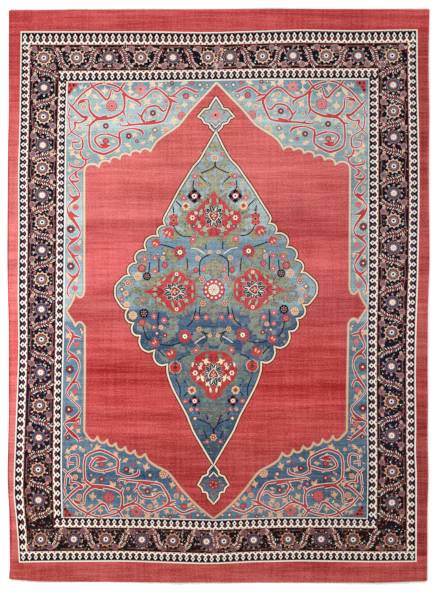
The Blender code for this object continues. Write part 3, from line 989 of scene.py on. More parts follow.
SAGE_LEAVES = (
    (211, 152, 215, 141), (205, 158, 207, 168), (203, 171, 197, 180), (199, 182, 206, 191),
    (194, 186, 190, 197), (214, 180, 206, 172), (183, 190, 179, 200), (208, 175, 214, 163),
    (206, 160, 201, 152), (214, 196, 214, 180), (207, 187, 199, 178), (198, 178, 205, 168),
    (188, 216, 180, 206), (181, 231, 170, 240), (192, 247, 208, 237), (200, 246, 188, 243),
    (176, 262, 164, 247), (190, 262, 182, 268), (214, 276, 214, 257), (213, 262, 202, 274),
    (160, 284, 148, 278), (152, 286, 139, 281), (144, 292, 131, 288), (150, 298, 132, 303),
    (158, 303, 148, 311), (214, 302, 214, 322), (210, 306, 198, 312), (206, 327, 213, 346),
    (176, 326, 162, 342), (170, 318, 178, 332), (192, 340, 204, 328), (174, 344, 186, 352),
    (160, 350, 168, 362), (137, 327, 148, 331), (195, 362, 180, 357), (184, 372, 178, 384),
    (206, 402, 203, 420), (212, 404, 214, 428), (206, 427, 198, 433), (208, 448, 213, 442),
    (147, 263, 135, 268), (139, 257, 148, 254),
)

# Half outlines of the red palmettes: squares from the middle towards the tip, and out to the side.
SIDE_PALMETTE = (
    (-21.5, 3), (-21, 8), (-17.5, 12), (-11.5, 14), (-10.5, 17.5), (-6, 20.5), (0.5, 20.5), (5, 18),
    (6, 15.5), (12, 14.5), (15, 11.5), (19, 7), (24.5, 2), (30, 0.5),
)
HEAD_PALMETTE = (
    (-21.5, 4), (-21.5, 10), (-20, 14.5), (-16.5, 16), (-15.5, 18.5), (-13, 23.5), (-8, 26.5), (-2, 27.5),
    (2, 26), (5, 21), (6, 16), (9.5, 14), (14, 10.5), (16.5, 6.5), (18, 4.5), (24, 0.5),
)
FOOT_PALMETTE = (
    (-24, 6), (-23, 12), (-18, 18.5), (-13, 19), (-10, 20.5), (-8.5, 23), (-3.5, 23.5), (5, 21), (8, 16),
    (11.5, 12.5), (16.5, 8), (19, 9), (21.5, 6), (24, 0.5),
)
# How far out to the side the widest one goes.
WIDEST_PALMETTE = 27.6

# What fills a red palmette: squares from its middle towards the tip, and out to the side of the widest one.
PALMETTE_STEMS = (
    ((-9, 2), (-15, 2), (-20, 4)), ((18, 7), (12, 5), (10, 2), (9, 0)), ((-6, 13), (-1, 17)),
    ((-10, 22), (-11, 16), (-8, 12)), ((6, 10), (1, 13)),
)
PALMETTE_LEAVES = {
    "plain": ((11.5, 4, 17.5, 3), (-13.5, 24, -8, 25)),
    "fleur": ((5.5, 9.5, 11.5, 4), (-9.5, 18.5, -5.5, 13), (-15.5, 13.5, -12.5, 3.5)),
    "barb": ((-1.5, 15, 6.5, 12), (5, 20.5, 1.5, 15.5)),
}
PALMETTE_FLOWERS = {
    "white_bud": ((-2.5, 21.5, 2.9), (2, 18, 1.7), (-11, 14.5, 1.9)),
    "steel_bud": ((-11, 20, 2.1),),
    "sage_bud": ((-19.5, 7.5, 2.7),),
}
SIDE_PALMETTE_STEMS = (((-8, 0), (-18, 5)), ((11, 0), (18, 5)), ((-2, 13), (-3, 18)))
SIDE_PALMETTE_LEAVES = {
    "fleur": ((22, 1.5, 16, 4), (17.5, 5, 13, 11.5), (-9.5, 6.5, -15, 11.5)),
    "plain": ((12, 10, 8, 15), (2.5, 10, 0, 16.5), (-4, 10, -7, 16), (-18.5, 1, -18, 7)),
}
SIDE_PALMETTE_FLOWERS = {
    "white_bud": ((-2.5, 17.5, 2.2),),
}

# Leaves are olive above the first row and sage below it. A palmette's ground and leaves change at the other.
SAGE_FROM = 290
STRAW_FROM = 320

# The red palmettes: outline, middle, and the way they face, in degrees from the right towards the foot.
PALMETTES = (
    (HEAD_PALMETTE, 213.9, 215.0, -90),
    (SIDE_PALMETTE, 174.2, 291.4, 180),
    (SIDE_PALMETTE, 255.2, 289.2, 0),
    (FOOT_PALMETTE, 213.5, 375.0, 90),
)


def turned(x, y, degrees):
    """A function that turns and places what is drawn facing right."""
    c, s = math.cos(math.radians(degrees)), math.sin(math.radians(degrees))
    return lambda u, v: (x + u * c - v * s, y + u * s + v * c)


def paint_palmette(cartoon, rng, half, x, y, facing):
    """A red palmette in a ragged hem of sage leaves, with leaves and buds around its heart."""
    place = turned(x, y, facing)
    across = max(v for _, v in half) / WIDEST_PALMETTE
    whole = list(half) + [(u, -v) for u, v in reversed(half)]
    stems, leaves, buds = PALMETTE_STEMS, PALMETTE_LEAVES, PALMETTE_FLOWERS
    if half is SIDE_PALMETTE:
        across = 1.0
        stems, leaves, buds = SIDE_PALMETTE_STEMS, SIDE_PALMETTE_LEAVES, SIDE_PALMETTE_FLOWERS
    cartoon.shape("olive" if y < STRAW_FROM else "sage", [place(u * 1.1, v * 1.12) for u, v in whole])
    for u, v in curve(whole, 2):
        for start, end in ((0.98, 1.2), (1.06, 1.32)):
            base = place(u * start, v * start)
            tip = place(u * end + rng.uniform(-3, 3), v * end + rng.uniform(-3, 3))
            leaf(cartoon, rng.choice(("sage", "olive", "sage", "mole")), "toothed", base, tip, 0.8)
    cartoon.shape("poppy", [place(*p) for p in whole])
    leaf_dye = "celadon" if y < STRAW_FROM else "straw"
    for hand in (-1, 1):
        for stem in stems:
            cartoon.line("maroon", [place(u, v * hand * across) for u, v in stem], 0.8)
        for form, places in leaves.items():
            for u, v, tip_u, tip_v in places:
                base, tip = place(u, v * hand * across), place(tip_u, tip_v * hand * across)
                leaf(cartoon, "maroon", form, base, tip, 1.15 * hand)
                leaf(cartoon, leaf_dye, form, base, tip, 0.8 * hand)
        paint_flowers(cartoon, buds, lambda u, v: place(u, v * hand * across))
    paint_heart(cartoon, *place(-1, 0), facing)


def paint_heart(cartoon, x, y, facing):
    """The heart of a palmette: a brick shield in a wreath of dark petals with ivory and blue ribs."""
    place = turned(x, y, facing)
    for k in range(12):
        share = (k + 0.5) / 12
        reach = 11.2 + 1.2 * math.cos(2 * math.tau * share)
        petals = (
            ("ivory", 3, reach + 0.3, 1.08), ("night", 3, reach, 0.98),
            (("ivory", "steel", "celadon")[k % 3], 4.4, reach - 1.6, 0.42),
        )
        for dye, start, end, broad in petals:
            base, tip = place(*around(0, 0, start, share)), place(*around(0, 0, end, share))
            leaf(cartoon, dye, "plain", base, tip, broad)
    shield = mirrored(((-5.6, 0.0), (-2.6, 3.0), (0.6, 4.8), (3.4, 4.0), (2.8, 1.4), (5.0, 0.0)))
    cartoon.shape("ivory", [place(u * 1.16, v * 1.16) for u, v in shield])
    cartoon.shape("brick", [place(*p) for p in shield])
    for u, v in ((-2.2, 0.0), (0.4, -1.6), (0.4, 1.6), (1.8, 0.0)):
        cartoon.dot("camel", *place(u, v), 1.1)
    cartoon.dot("celadon", *place(-0.2, 0.0), 0.8)


def paint_night_star(cartoon, x, y, size):
    """A rosette of four broad dark petals, four brick ones between them and an ivory heart."""
    for k in range(8):
        dye, reach, broad = ("brick", 1.0, 1.05) if k % 2 else ("night", 1.12, 1.15)
        leaf(cartoon, dye, "plain", (x, y), around(x, y, reach * size, k / 8), broad)
        for dye, reach in (("rose", 0.42), ("night", 0.82)):
            cartoon.dot(dye, *around(x, y, reach * size, (k + 0.5) / 8), 0.15 * size)
    cartoon.shape("ivory", polygon(x, y, 0.44 * size, 0.30 * size, 8))
    cartoon.dot("maroon", x, y, 0.17 * size, 5)


def paint_middle_rosette(cartoon, x, y):
    """The madder rosette in the middle, with a ring of ivory beads."""
    cartoon.shape("brick", polygon(x, y, 11.4, 10.4, 14))
    cartoon.shape("vine_red", polygon(x, y, 10.4, 9.8, 14))
    paint_beads(cartoon, ("ivory",), x, y, 8.3, 12, 1.2, 5)
    cartoon.shape("umber", polygon(x, y, 6.4, 6.4, 14))
    cartoon.shape("ivory", polygon(x, y, 5.8, 5.2, 12))
    for k in range(12):
        cartoon.line("umber", [around(x, y, reach, k / 12) for reach in (1.8, 5.4)], 0.5)
    cartoon.shape("camel", polygon(x, y, 2.0, 1.5, 6))
    cartoon.dot("brick", x, y, 0.9)


def paint_spray_set(cartoon, copy, vines, leaves, flowers, hem):
    """Leaves, red vines with an ivory hem, and flowers of one copy of the ground's design."""
    for form, places in leaves.items():
        for x, y, tip_x, tip_y in places:
            leaf(cartoon, "camel", form, copy.at(x, y), copy.at(tip_x, tip_y), 0.85 * copy.hand)
    drawn = []
    for vine in vines:
        soft = curve(vine, 3)
        route = [copy.at(x, y) for x, y, _ in soft]
        widths = [0.2 + 1.15 * w for _, _, w in soft]
        cartoon.line("ivory", route, [w + hem for w in widths])
        drawn.append((route, widths))
    for route, widths in drawn:
        cartoon.line("vine_red", route, widths)
    paint_flowers(cartoon, flowers, copy.at, 0.3)


# How many small leaves are strewn over the spandrels, and over the medallion and around it.
SPANDREL_SPRIGS = 330
MEDALLION_SPRIGS = 400


def paint_ground(cartoon, rng):
    """The blue ground outside the red field: four spandrels and two side strips."""
    cartoon.shape("spandrel_blue", band_frame(lambda side: 1.0))
    for _ in range(SPANDREL_SPRIGS):
        x, y = rng.uniform(68, 365), rng.choice((rng.uniform(84, 168), rng.uniform(434, 514)))
        tip = around(x, y, rng.uniform(2.0, 4.4), rng.random())
        leaf(cartoon, rng.choices(("camel", "straw", "mole"), (8, 2, 4))[0], "barb", (x, y), tip, 0.7)
    for right in (False, True):
        strip = Copy(right, False, FIELD_AXIS, FIELD_RIGHT_DROP)
        paint_spray_set(cartoon, strip, STRIP_VINES, STRIP_LEAVES, STRIP_FLOWERS, 0.9)
        for lower in (False, True):
            copy = Copy(right, lower, FIELD_AXIS, FIELD_RIGHT_DROP)
            paint_spray_set(cartoon, copy, SPANDREL_VINES, SPANDREL_LEAVES, SPANDREL_FLOWERS, 1.0)
            cartoon.shape("vine_red", [copy.at(*p) for p in CORNER_ROSE])
            for dye, places in (("maroon", ((70, 85), (71.4, 89))), ("night", ((74, 85), (69.4, 92)))):
                for place in places:
                    cartoon.dot(dye, *copy.at(*place), 1.4, 5)


def paint_field(cartoon):
    """The plain red field, cut out of the ground by its cream line."""
    outline = both_halves(FIELD_EDGE, FIELD_AXIS, FIELD_RIGHT_DROP)
    cartoon.shape("madder", outline)
    closed = outline + outline[:1]
    cartoon.line("steel", closed, 3.1)
    cartoon.line("camel", closed, 2.1)


def inside(outline, x, y):
    """Whether a place lies inside an outline."""
    crossings = 0
    for (x0, y0), (x1, y1) in zip(outline, outline[1:] + outline[:1]):
        if (y0 > y) != (y1 > y) and x < x0 + (y - y0) / (y1 - y0) * (x1 - x0):
            crossings += 1
    return crossings % 2 == 1


def strew_leaves(cartoon, rng, outline):
    """Small sage leaves, each on a mole one, where they fall inside an outline."""
    for _ in range(MEDALLION_SPRIGS):
        x, y = rng.uniform(120, 312), rng.triangular(138, 440, 260)
        if not inside(outline, x, y):
            continue
        angle, size = rng.uniform(0, math.tau), rng.uniform(2.6, 5.4)
        tip = (x + size * math.cos(angle), y + size * math.sin(angle) * 0.8)
        if inside(outline, *tip):
            dye = rng.choices(("sage", "olive", "mole"), (10, 6, 2))[0]
            form = rng.choice(("toothed", "fleur"))
            leaf(cartoon, "mole", form, (x - 0.3 * size * math.cos(angle), y), tip, 1.7)
            leaf(cartoon, dye, form, (x, y), tip, 1.1)


def paint_medallion(cartoon, rng):
    """The medallion with its two pendants, on the red field."""
    outline = both_halves(MEDALLION_EDGE, MEDALLION_AXIS, MEDALLION_RIGHT_DROP)
    edges = [outline]
    for half in (HEAD_PENDANT_EDGE, FOOT_PENDANT_EDGE):
        edges.insert(-1, both_halves(half, MEDALLION_AXIS, MEDALLION_RIGHT_DROP))
    for edge in edges:
        cartoon.line("night", edge + edge[:1], 3.6)
        cartoon.shape("medallion_blue", edge)
    halves = [Copy(right, False, MOTIF_AXIS, MEDALLION_RIGHT_DROP) for right in (False, True)]
    strew_leaves(cartoon, rng, outline)
    for half in halves:
        for x, y, tip_x, tip_y in SAGE_LEAVES:
            base, tip = half.at(x, y), half.at(tip_x, tip_y)
            leaf(cartoon, "mole", "toothed", base, tip, 0.95)
            leaf(cartoon, "olive" if tip_y < SAGE_FROM else "sage", "toothed", base, tip, 0.68)
        for stem in MEDALLION_STEMS:
            cartoon.line("night", curve([half.at(*p) for p in stem], 3), 1.15)
        for thread in IVORY_THREADS:
            cartoon.line("ivory", curve([half.at(*p) for p in thread], 3), 0.8)
    for palmette in PALMETTES:
        paint_palmette(cartoon, rng, *palmette)
    for half in halves:
        paint_flowers(cartoon, MEDALLION_FLOWERS, half.at, 0.2)
        for x, y, size, facing in RED_BLOSSOMS:
            paint_blossom(cartoon, *half.at(x, y), size, facing if half.right else 180 - facing)
        for x, y, size in NIGHT_STARS:
            paint_night_star(cartoon, *half.at(x, y), size)
        for x, y, size, full in DIAMOND_ROWS:
            paint_diamonds(cartoon, *half.at(x, y), size, full)
    paint_middle_rosette(cartoon, 213.9, 289.4)
    paint_flowers(cartoon, MEDALLION_MIDDLE_FLOWERS, lambda x, y: (x, y), 0.2)
    paint_pendant(cartoon, 215.6, 115, 1, ("rose", "sage", "night"))
    paint_pendant(cartoon, 213.6, 484.2, -1, ("brick", "camel", "maroon"))
    for edge in edges:
        cartoon.line("night", edge + edge[:1], 3.3)
        cartoon.line("straw", edge + edge[:1], 1.75)


def paint_pendant(cartoon, x, y, down, dyes):
    """What fills a pendant: a star of ten petals, five buds and three chevrons towards the medallion."""
    petals, beads, heart = dyes
    for across, along in ((-10.6, -1.6), (8.6, -1.6), (0, -9.6), (-6.6, 3.6), (6.6, 3.6)):
        flower(cartoon, "pendant_bud", x + across, y + along * down, 3.0 if along < 0 else 1.8)
    cartoon.shape(petals, polygon(x, y, 6.0, 4.4, 10))
    paint_beads(cartoon, (beads,), x, y, 3.0, 5, 0.75)
    cartoon.dot(heart, x, y, 1.2, 6)
    for dye, shift in (("night", 1.5), ("ivory", 0.0), ("vine_red", -1.5)):
        chevron = ((-4.2, 8.0), (0.0, 12.6), (4.2, 8.0))
        cartoon.line(dye, [(x + u, y + (v + shift) * down) for u, v in chevron], 1.2)


def paint_blossom(cartoon, x, y, size, facing):
    """A red blossom of five pointed lobes with two camel stamens."""
    place = turned(x, y, facing)
    lobes = mirrored(((-0.9, 0), (-0.5, 0.62), (0.1, 0.95), (0.2, 0.5), (0.62, 0.78), (0.5, 0.2), (1, 0)))
    cartoon.shape("vine_red", [place(u * size, v * size) for u, v in lobes])
    for hand in (-1, 1):
        base, tip = place(-0.2 * size, 0.16 * hand * size), place(0.45 * size, 0.34 * hand * size)
        leaf(cartoon, "camel", "plain", base, tip, 0.8)


def paint_diamonds(cartoon, x, y, size, full):
    """A red flower with dark diamonds, one above another. The full one is eight-sided, in a camel hem."""
    half = ((-0.6, 0), (-0.95, 0.75), (-0.35, 1.15), (0, 0.8), (0.35, 1.15), (0.95, 0.75), (0.6, 0))
    lobes = mirrored(half)
    diamonds = ((-1.02, 0.30), (0.0, 0.34), (1.02, 0.30))
    if full:
        lobes = polygon(0, 0, 1.02, 0.88, 8, 0.2)
        diamonds = ((-0.72, 0.34), (0.0, 0.40), (1.16, 0.26))
        cartoon.shape("camel", [(x + u * size * 1.1, y + v * size * 1.1) for u, v in lobes])
    cartoon.shape("poppy" if full else "vine_red", [(x + u * size * 0.97, y + v * size) for u, v in lobes])
    for shift, share in diamonds:
        if not full:
            cartoon.dot("camel", x, y + shift * size, size * share * 1.25)
        cartoon.dot("maroon", x, y + shift * size, size * share)


# The rim of the cloth: in how many steps its sides go, and how long each step of its ends is.
SIDE_STEPS = 92
END_STEP = 0.040

# The upright runs of the outer band end at this height, and lie at least this far from the middle.
UPRIGHT_REACH = 1.70
UPRIGHT_FROM = 1.2


def cloth_outline():
    """The rim of the knotted cloth, inside the two side cords, in metres."""
    inset = CORD_WIDTH + FIT_GAP
    rows = [CARPET_LENGTH * (k / SIDE_STEPS - 0.5) for k in range(SIDE_STEPS + 1)]
    left = [left_edge(y) + inset for y in rows]
    right = [right_edge(y) - inset for y in rows]

    def end(edge, start, stop):
        count = int(abs(stop - start) / END_STEP)
        places = [start + (stop - start) * k / count for k in range(count + 1)]
        return [(x, edge(x)) for x in places]

    def side(places, start, stop):
        return [(x, start + (stop - start) * k / SIDE_STEPS) for k, x in enumerate(places)]

    foot = end(foot_edge, left[0], right[0])
    head = end(head_edge, right[-1], left[-1])
    right_side = side(right, foot[-1][1], head[0][1])
    left_side = side(left, foot[0][1], head[-1][1])
    outline = foot[:-1] + right_side[:-1] + head[:-1] + left_side[:0:-1]
    return [(x + CLOTH_MIDDLE.x, y + CLOTH_MIDDLE.y) for x, y in outline]


def paint_upright_bands(cartoon):
    """The red outer band's left and right runs, as lit and shaded copies of its madder: painted lighter at
    the left and darker at the right, as the light falls across the carpet.
    """
    rim = [(x, y) for x, y in cloth_outline() if abs(y - CLOTH_MIDDLE.y) < UPRIGHT_REACH]
    for dye, side, hand in (("painted_lit_left_band", LEFT, -1), ("painted_shade_right_band", RIGHT, 1)):
        rows = [(x, y) for x, y in rim if (x - CLOTH_MIDDLE.x) * hand > UPRIGHT_FROM]
        rows.sort(key=lambda point: point[1])
        along = [MIDDLE_ROW - (y - CLOTH_MIDDLE.y) / SQUARE for _, y in rows]
        cartoon.floor_shape(dye, rows + [on_floor(*band_point(side, row, 0.0)) for row in reversed(along)])


# How wide the red line between a guard and the main border is, as a share of the bands.
BRICK_LINE = 0.014


def draw_cartoon(seed):
    """The whole design, from the red outer band to the last bud."""
    rng = random.Random(seed)
    cartoon = Cartoon()
    cartoon.floor_shape("madder", cloth_outline())
    paint_upright_bands(cartoon)
    cartoon.shape("ivory", band_frame(lambda side: 0.0))
    cartoon.shape("indigo", band_frame(lambda side: side.ivory))
    paint_guard(cartoon, lambda side: side.ivory, lambda side: side.outer_guard, False)
    cartoon.shape("brick", band_frame(lambda side: side.outer_guard))
    cartoon.shape("night", band_frame(lambda side: side.outer_guard + BRICK_LINE))
    paint_border(cartoon, rng)
    cartoon.shape("brick", band_frame(lambda side: side.border - BRICK_LINE))
    cartoon.shape("indigo", band_frame(lambda side: side.border))
    paint_guard(cartoon, lambda side: side.inner_guard, lambda side: side.border, True)
    cartoon.shape("ivory", band_frame(lambda side: side.inner_guard))
    paint_ground(cartoon, rng)
    paint_field(cartoon)
    paint_medallion(cartoon, rng)
    return cartoon


def pile_height(x, y, swell):
    """The pile's top at a place: walked lower in the middle, and never quite flat."""
    across = (x - CLOTH_LOW.x) / (CLOTH_HIGH.x - CLOTH_LOW.x)
    along = (y - CLOTH_LOW.y) / (CLOTH_HIGH.y - CLOTH_LOW.y)
    worn = max(0.0, math.sin(math.pi * min(max(across, 0), 1)) * math.sin(math.pi * min(max(along, 0), 1)))
    waves = noise.noise((x * 1.7, y * 1.3, 4.0)) + 0.5 * noise.noise((x * 4.3, y * 3.1, 9.0))
    ridge = noise.noise((x * 0.7, y * 7.0, 2.0)) * 0.2
    return CLOTH_THICKNESS - PILE_WEAR * worn * worn + swell * (waves + ridge)


class Nodes:
    """Adds and joins the nodes of one tree."""

    def __init__(self, tree):
        self.tree = tree

    def add(self, kind, inputs=None, **settings):
        """A new node with its inputs fed and its settings made."""
        node = self.tree.nodes.new(kind)
        for name, value in settings.items():
            setattr(node, name, value)
        for name, value in (inputs or {}).items():
            self.put(value, node.inputs[name])
        return node

    def put(self, value, socket):
        """Feeds a socket from another one or with a constant."""
        if isinstance(value, bpy.types.NodeSocket):
            self.tree.links.new(value, socket)
        else:
            socket.default_value = value

    def math(self, operation, a, b=0.0, clamp=False):
        """What an operation makes of two values."""
        return self.add("ShaderNodeMath", {0: a, 1: b}, operation=operation, use_clamp=clamp).outputs[0]

    def plus(self, a, b, times=1.0, clamp=False):
        """One value plus so many times another."""
        return self.math("ADD", a, self.math("MULTIPLY", b, times), clamp)

    def swing(self, value, amount):
        """How far a noise lies from its middle."""
        return self.math("MULTIPLY", self.math("SUBTRACT", value, 0.5), amount)

    def place(self):
        """Where a point lies in its piece, in metres."""
        return self.add("ShaderNodeTexCoord").outputs["Object"]

    def along(self, axis):
        """One coordinate of that place."""
        return self.add("ShaderNodeSeparateXYZ", {0: self.place()}).outputs[axis]

    def stretched(self, across, along, shift=0.0):
        """Object coordinates with their own scale across and along the carpet."""
        inputs = {"Vector": self.place(), "Scale": (across, along, 1.0), "Location": (shift, shift, 0.0)}
        return self.add("ShaderNodeMapping", inputs).outputs[0]

    def noise(self, across, along, detail, shift=0.0, roughness=0.6):
        """Soft noise from 0 to 1, with so many waves in a metre each way."""
        inputs = {"Vector": self.stretched(across, along, shift), "Scale": 1.0, "Detail": detail}
        return self.add("ShaderNodeTexNoise", {**inputs, "Roughness": roughness}).outputs["Fac"]

    def cells(self, across, along, loose):
        """Small cells, one for each knot."""
        inputs = {"Vector": self.stretched(across, along), "Scale": 1.0, "Randomness": loose}
        return self.add("ShaderNodeTexVoronoi", inputs).outputs

    def ramp(self, value, start, end, **settings):
        """From 0 to 1 as a value goes from a start to an end."""
        inputs = {"Value": value, "From Min": start, "From Max": end}
        return self.add("ShaderNodeMapRange", inputs, **settings).outputs["Result"]

    def mix(self, share, one, other, blend="MIX"):
        """A colour with a share of another one."""
        inputs = {"Factor": share, 6: one, 7: other}
        return self.add("ShaderNodeMix", inputs, data_type="RGBA", blend_type=blend).outputs[2]


def new_group(name, inputs, outputs):
    """A shader node group with named sockets."""
    group = bpy.data.node_groups.new(name, "ShaderNodeTree")
    for label, kind, default in inputs:
        socket = group.interface.new_socket(label, in_out="INPUT", socket_type=kind)
        socket.default_value = default
    for label, kind in outputs:
        group.interface.new_socket(label, in_out="OUTPUT", socket_type=kind)
    nodes = Nodes(group)
    return group, nodes, nodes.add("NodeGroupInput"), nodes.add("NodeGroupOutput")


# The middle of the pale patch of painted glare, in metres.
PAINTED_GLARE_MIDDLE = (-0.62, 0.45, 0.0)


def rows_group():
    """Which row of the carpet a place lies in, from 0 at the head to 1 at the foot, as its wefts wander."""
    group, nodes, _, out = new_group("weft_rows", [], [("Row", "NodeSocketFloat")])
    y = nodes.plus(nodes.along("Y"), nodes.swing(nodes.noise(1.6, 3.2, 3.0, roughness=0.5), 0.045))
    y = nodes.plus(y, nodes.swing(nodes.noise(9.0, 60.0, 1.0, roughness=0.5), 0.03))
    row = nodes.ramp(y, on_floor(0, HEAD_ROW)[1], on_floor(0, FOOT_ROW)[1])
    nodes.put(row, out.inputs["Row"])
    return group


def pile_group(knot):
    """Dyed wool as it ages: streaks along the wefts, knots of slightly different tone and a worn surface,
    with a painted glare over the upper left and painted shade towards the right.
    """
    group, nodes, start, out = new_group(
        "wool_pile",
        [
            ("Dye", "NodeSocketColor", (0.5, 0.1, 0.1, 1.0)),
            ("Streaks", "NodeSocketFloat", 0.12),
            ("Knots", "NodeSocketFloat", 0.1),
            ("Dust", "NodeSocketFloat", 0.05),
            # The next input sets the painted glare: a pale pool of light over the upper left.
            ("Painted_glare", "NodeSocketFloat", 0.0),
            # Right sets the painted shade: the colour grows darker towards the right.
            ("Right", "NodeSocketFloat", 0.0),
        ],
        [("Color", "NodeSocketColor"), ("Roughness", "NodeSocketFloat"), ("Height", "NodeSocketFloat")],
    )
    fine = nodes.noise(5.0, 120.0, 2.5)
    patch = nodes.noise(2.0, 3.6, 4.0, 11.0)
    streaks = nodes.plus(nodes.swing(fine, 2.6), nodes.swing(nodes.noise(1.0, 22.0, 3.0, 3.0), 2.6))
    streaks = nodes.plus(streaks, nodes.swing(nodes.noise(90.0, 150.0, 1.0, 17.0), 3.0))
    streaks = nodes.plus(streaks, nodes.swing(nodes.noise(60.0, 2.5, 2.0, 7.0), 1.2))
    streaks = nodes.plus(streaks, nodes.swing(patch, 1.7))
    knots = nodes.cells(1 / knot, 1 / knot, 0.35)
    tone = nodes.add("ShaderNodeSeparateColor", {0: knots["Color"]}).outputs["Red"]
    shade = nodes.plus(1.0, streaks, start.outputs["Streaks"])
    shade = nodes.plus(shade, nodes.swing(tone, 2.0), start.outputs["Knots"])
    # Painted shade: the colour darkens towards the right, as the light from the left falls off.
    turn = nodes.ramp(nodes.along("X"), 0.0, 0.9, interpolation_type="SMOOTHSTEP")
    shade = nodes.math("SUBTRACT", shade, nodes.math("MULTIPLY", turn, start.outputs["Right"]))
    # Painted glare: a broad pool of light over the upper left, brighter and paler towards its middle.
    glare_distance = nodes.add("ShaderNodeVectorMath", {0: nodes.place(), 1: PAINTED_GLARE_MIDDLE}, operation="DISTANCE")
    beyond_glare = nodes.ramp(glare_distance.outputs["Value"], 0.35, 1.2, interpolation_type="SMOOTHSTEP")
    painted_glare = nodes.math("MULTIPLY", nodes.math("SUBTRACT", 1.0, beyond_glare), start.outputs["Painted_glare"])
    shade = nodes.plus(shade, painted_glare, 3.0)
    bright = nodes.add("ShaderNodeCombineXYZ", {0: shade, 1: shade, 2: shade}).outputs[0]
    dyed = nodes.mix(1.0, start.outputs["Dye"], bright, "MULTIPLY")
    dust = nodes.math("MULTIPLY", nodes.plus(1.0, streaks, 2.0), start.outputs["Dust"])
    # The painted glare also pales the colour here, on top of the dust.
    dust = nodes.plus(dust, painted_glare, 0.6, True)
    nodes.put(nodes.mix(dust, dyed, (0.86, 0.80, 0.76, 1.0)), out.inputs["Color"])
    nodes.put(nodes.plus(0.86, nodes.swing(patch, 0.2)), out.inputs["Roughness"])
    nodes.put(nodes.plus(knots["Distance"], fine, 0.7), out.inputs["Height"])
    return group


def fleck_group():
    """Single knots of rust, of blue and of black wool among those of another dye."""
    group, nodes, start, out = new_group(
        "yarn_flecks",
        [("Dye", "NodeSocketColor", (0.3, 0.3, 0.2, 1.0)), ("Share", "NodeSocketFloat", 0.3)],
        [("Color", "NodeSocketColor")],
    )
    parts = nodes.add("ShaderNodeSeparateColor", {0: nodes.cells(125.0, 150.0, 0.8)["Color"]}).outputs
    drift = nodes.math("MULTIPLY", nodes.noise(18.0, 22.0, 2.0, roughness=0.5), 2.0)
    share = nodes.math("MULTIPLY", start.outputs["Share"], drift)
    color = start.outputs["Dye"]
    tints = ((0.36, 0.17, 0.15, 1.0), (0.22, 0.33, 0.38, 1.0), (0.055, 0.06, 0.055, 1.0))
    for part, tint in enumerate(tints):
        share = nodes.math("MULTIPLY", share, 0.8)
        chosen = nodes.math("LESS_THAN", parts[part], share)
        color = nodes.mix(nodes.math("MULTIPLY", chosen, 0.62), color, tint)
    nodes.put(color, out.inputs["Color"])
    return group


class Wear(NamedTuple):
    """How a dye has aged: streaks, uneven knots, dust and flecks, with a painted glare over the upper left
    and painted shade deepening towards the right.
    """

    streaks: float = 0.2
    knots: float = 0.09
    dust: float = 0.02
    flecks: float = 0.0
    # How strongly the painted glare brightens the colour over the upper left.
    painted_glare: float = 0.0
    # How much painted shade darkens the colour towards the right.
    right: float = 0.0


# How each dye of the design has aged, where it differs from the usual, with the painted glare on the madder
# and the painted shade towards the right on the blue ground, the red vines and the camel.
DYE_WEAR = {
    "madder": Wear(0.32, 0.10, 0.036, painted_glare=0.032),
    "painted_lit_left_band": Wear(0.28, 0.09, 0.036),
    "painted_shade_right_band": Wear(0.36, 0.10, 0.028),
    "vine_red": Wear(0.2, 0.08, 0.025, right=0.14),
    "poppy": Wear(0.2, 0.08, 0.03),
    "celadon": Wear(0.16, 0.10, 0.0),
    "spandrel_blue": Wear(0.26, 0.12, 0.05, right=0.20),
    "medallion_blue": Wear(0.30, 0.14, 0.03, 0.045),
    "ivory": Wear(0.08, 0.04, 0.0),
    "straw": Wear(0.12, 0.06, 0.0),
    "camel": Wear(0.14, 0.08, 0.0, right=0.08),
    "indigo": Wear(0.5, 0.3, 0.0),
    "night": Wear(0.6, 0.4, 0.0),
    "sage": Wear(0.26, 0.16, 0.02, 0.2),
    "olive": Wear(0.26, 0.16, 0.02, 0.16),
    "mole": Wear(0.26, 0.16, 0.02, 0.34),
}

# Colours down the carpet for the back, the warps and the side cords. The back and the cords have them as the
# dyes do; the warps' undyed cotton is toned darker, most at the foot, partly as painted shade among the
# threads.
BACK_TONES = ((9, 176, 110, 98), (300, 150, 104, 100), (582, 168, 96, 88))
COTTON_TONES = ((9, 232, 225, 210), (582, 218, 209, 190))
OVERCAST_TONES = ((9, 196, 78, 76), (200, 204, 92, 90), (300, 206, 92, 92), (582, 184, 80, 74))


def set_inputs(shader, values):
    """Sets a shader's own constants."""
    for label, value in values.items():
        shader.inputs[label].default_value = value


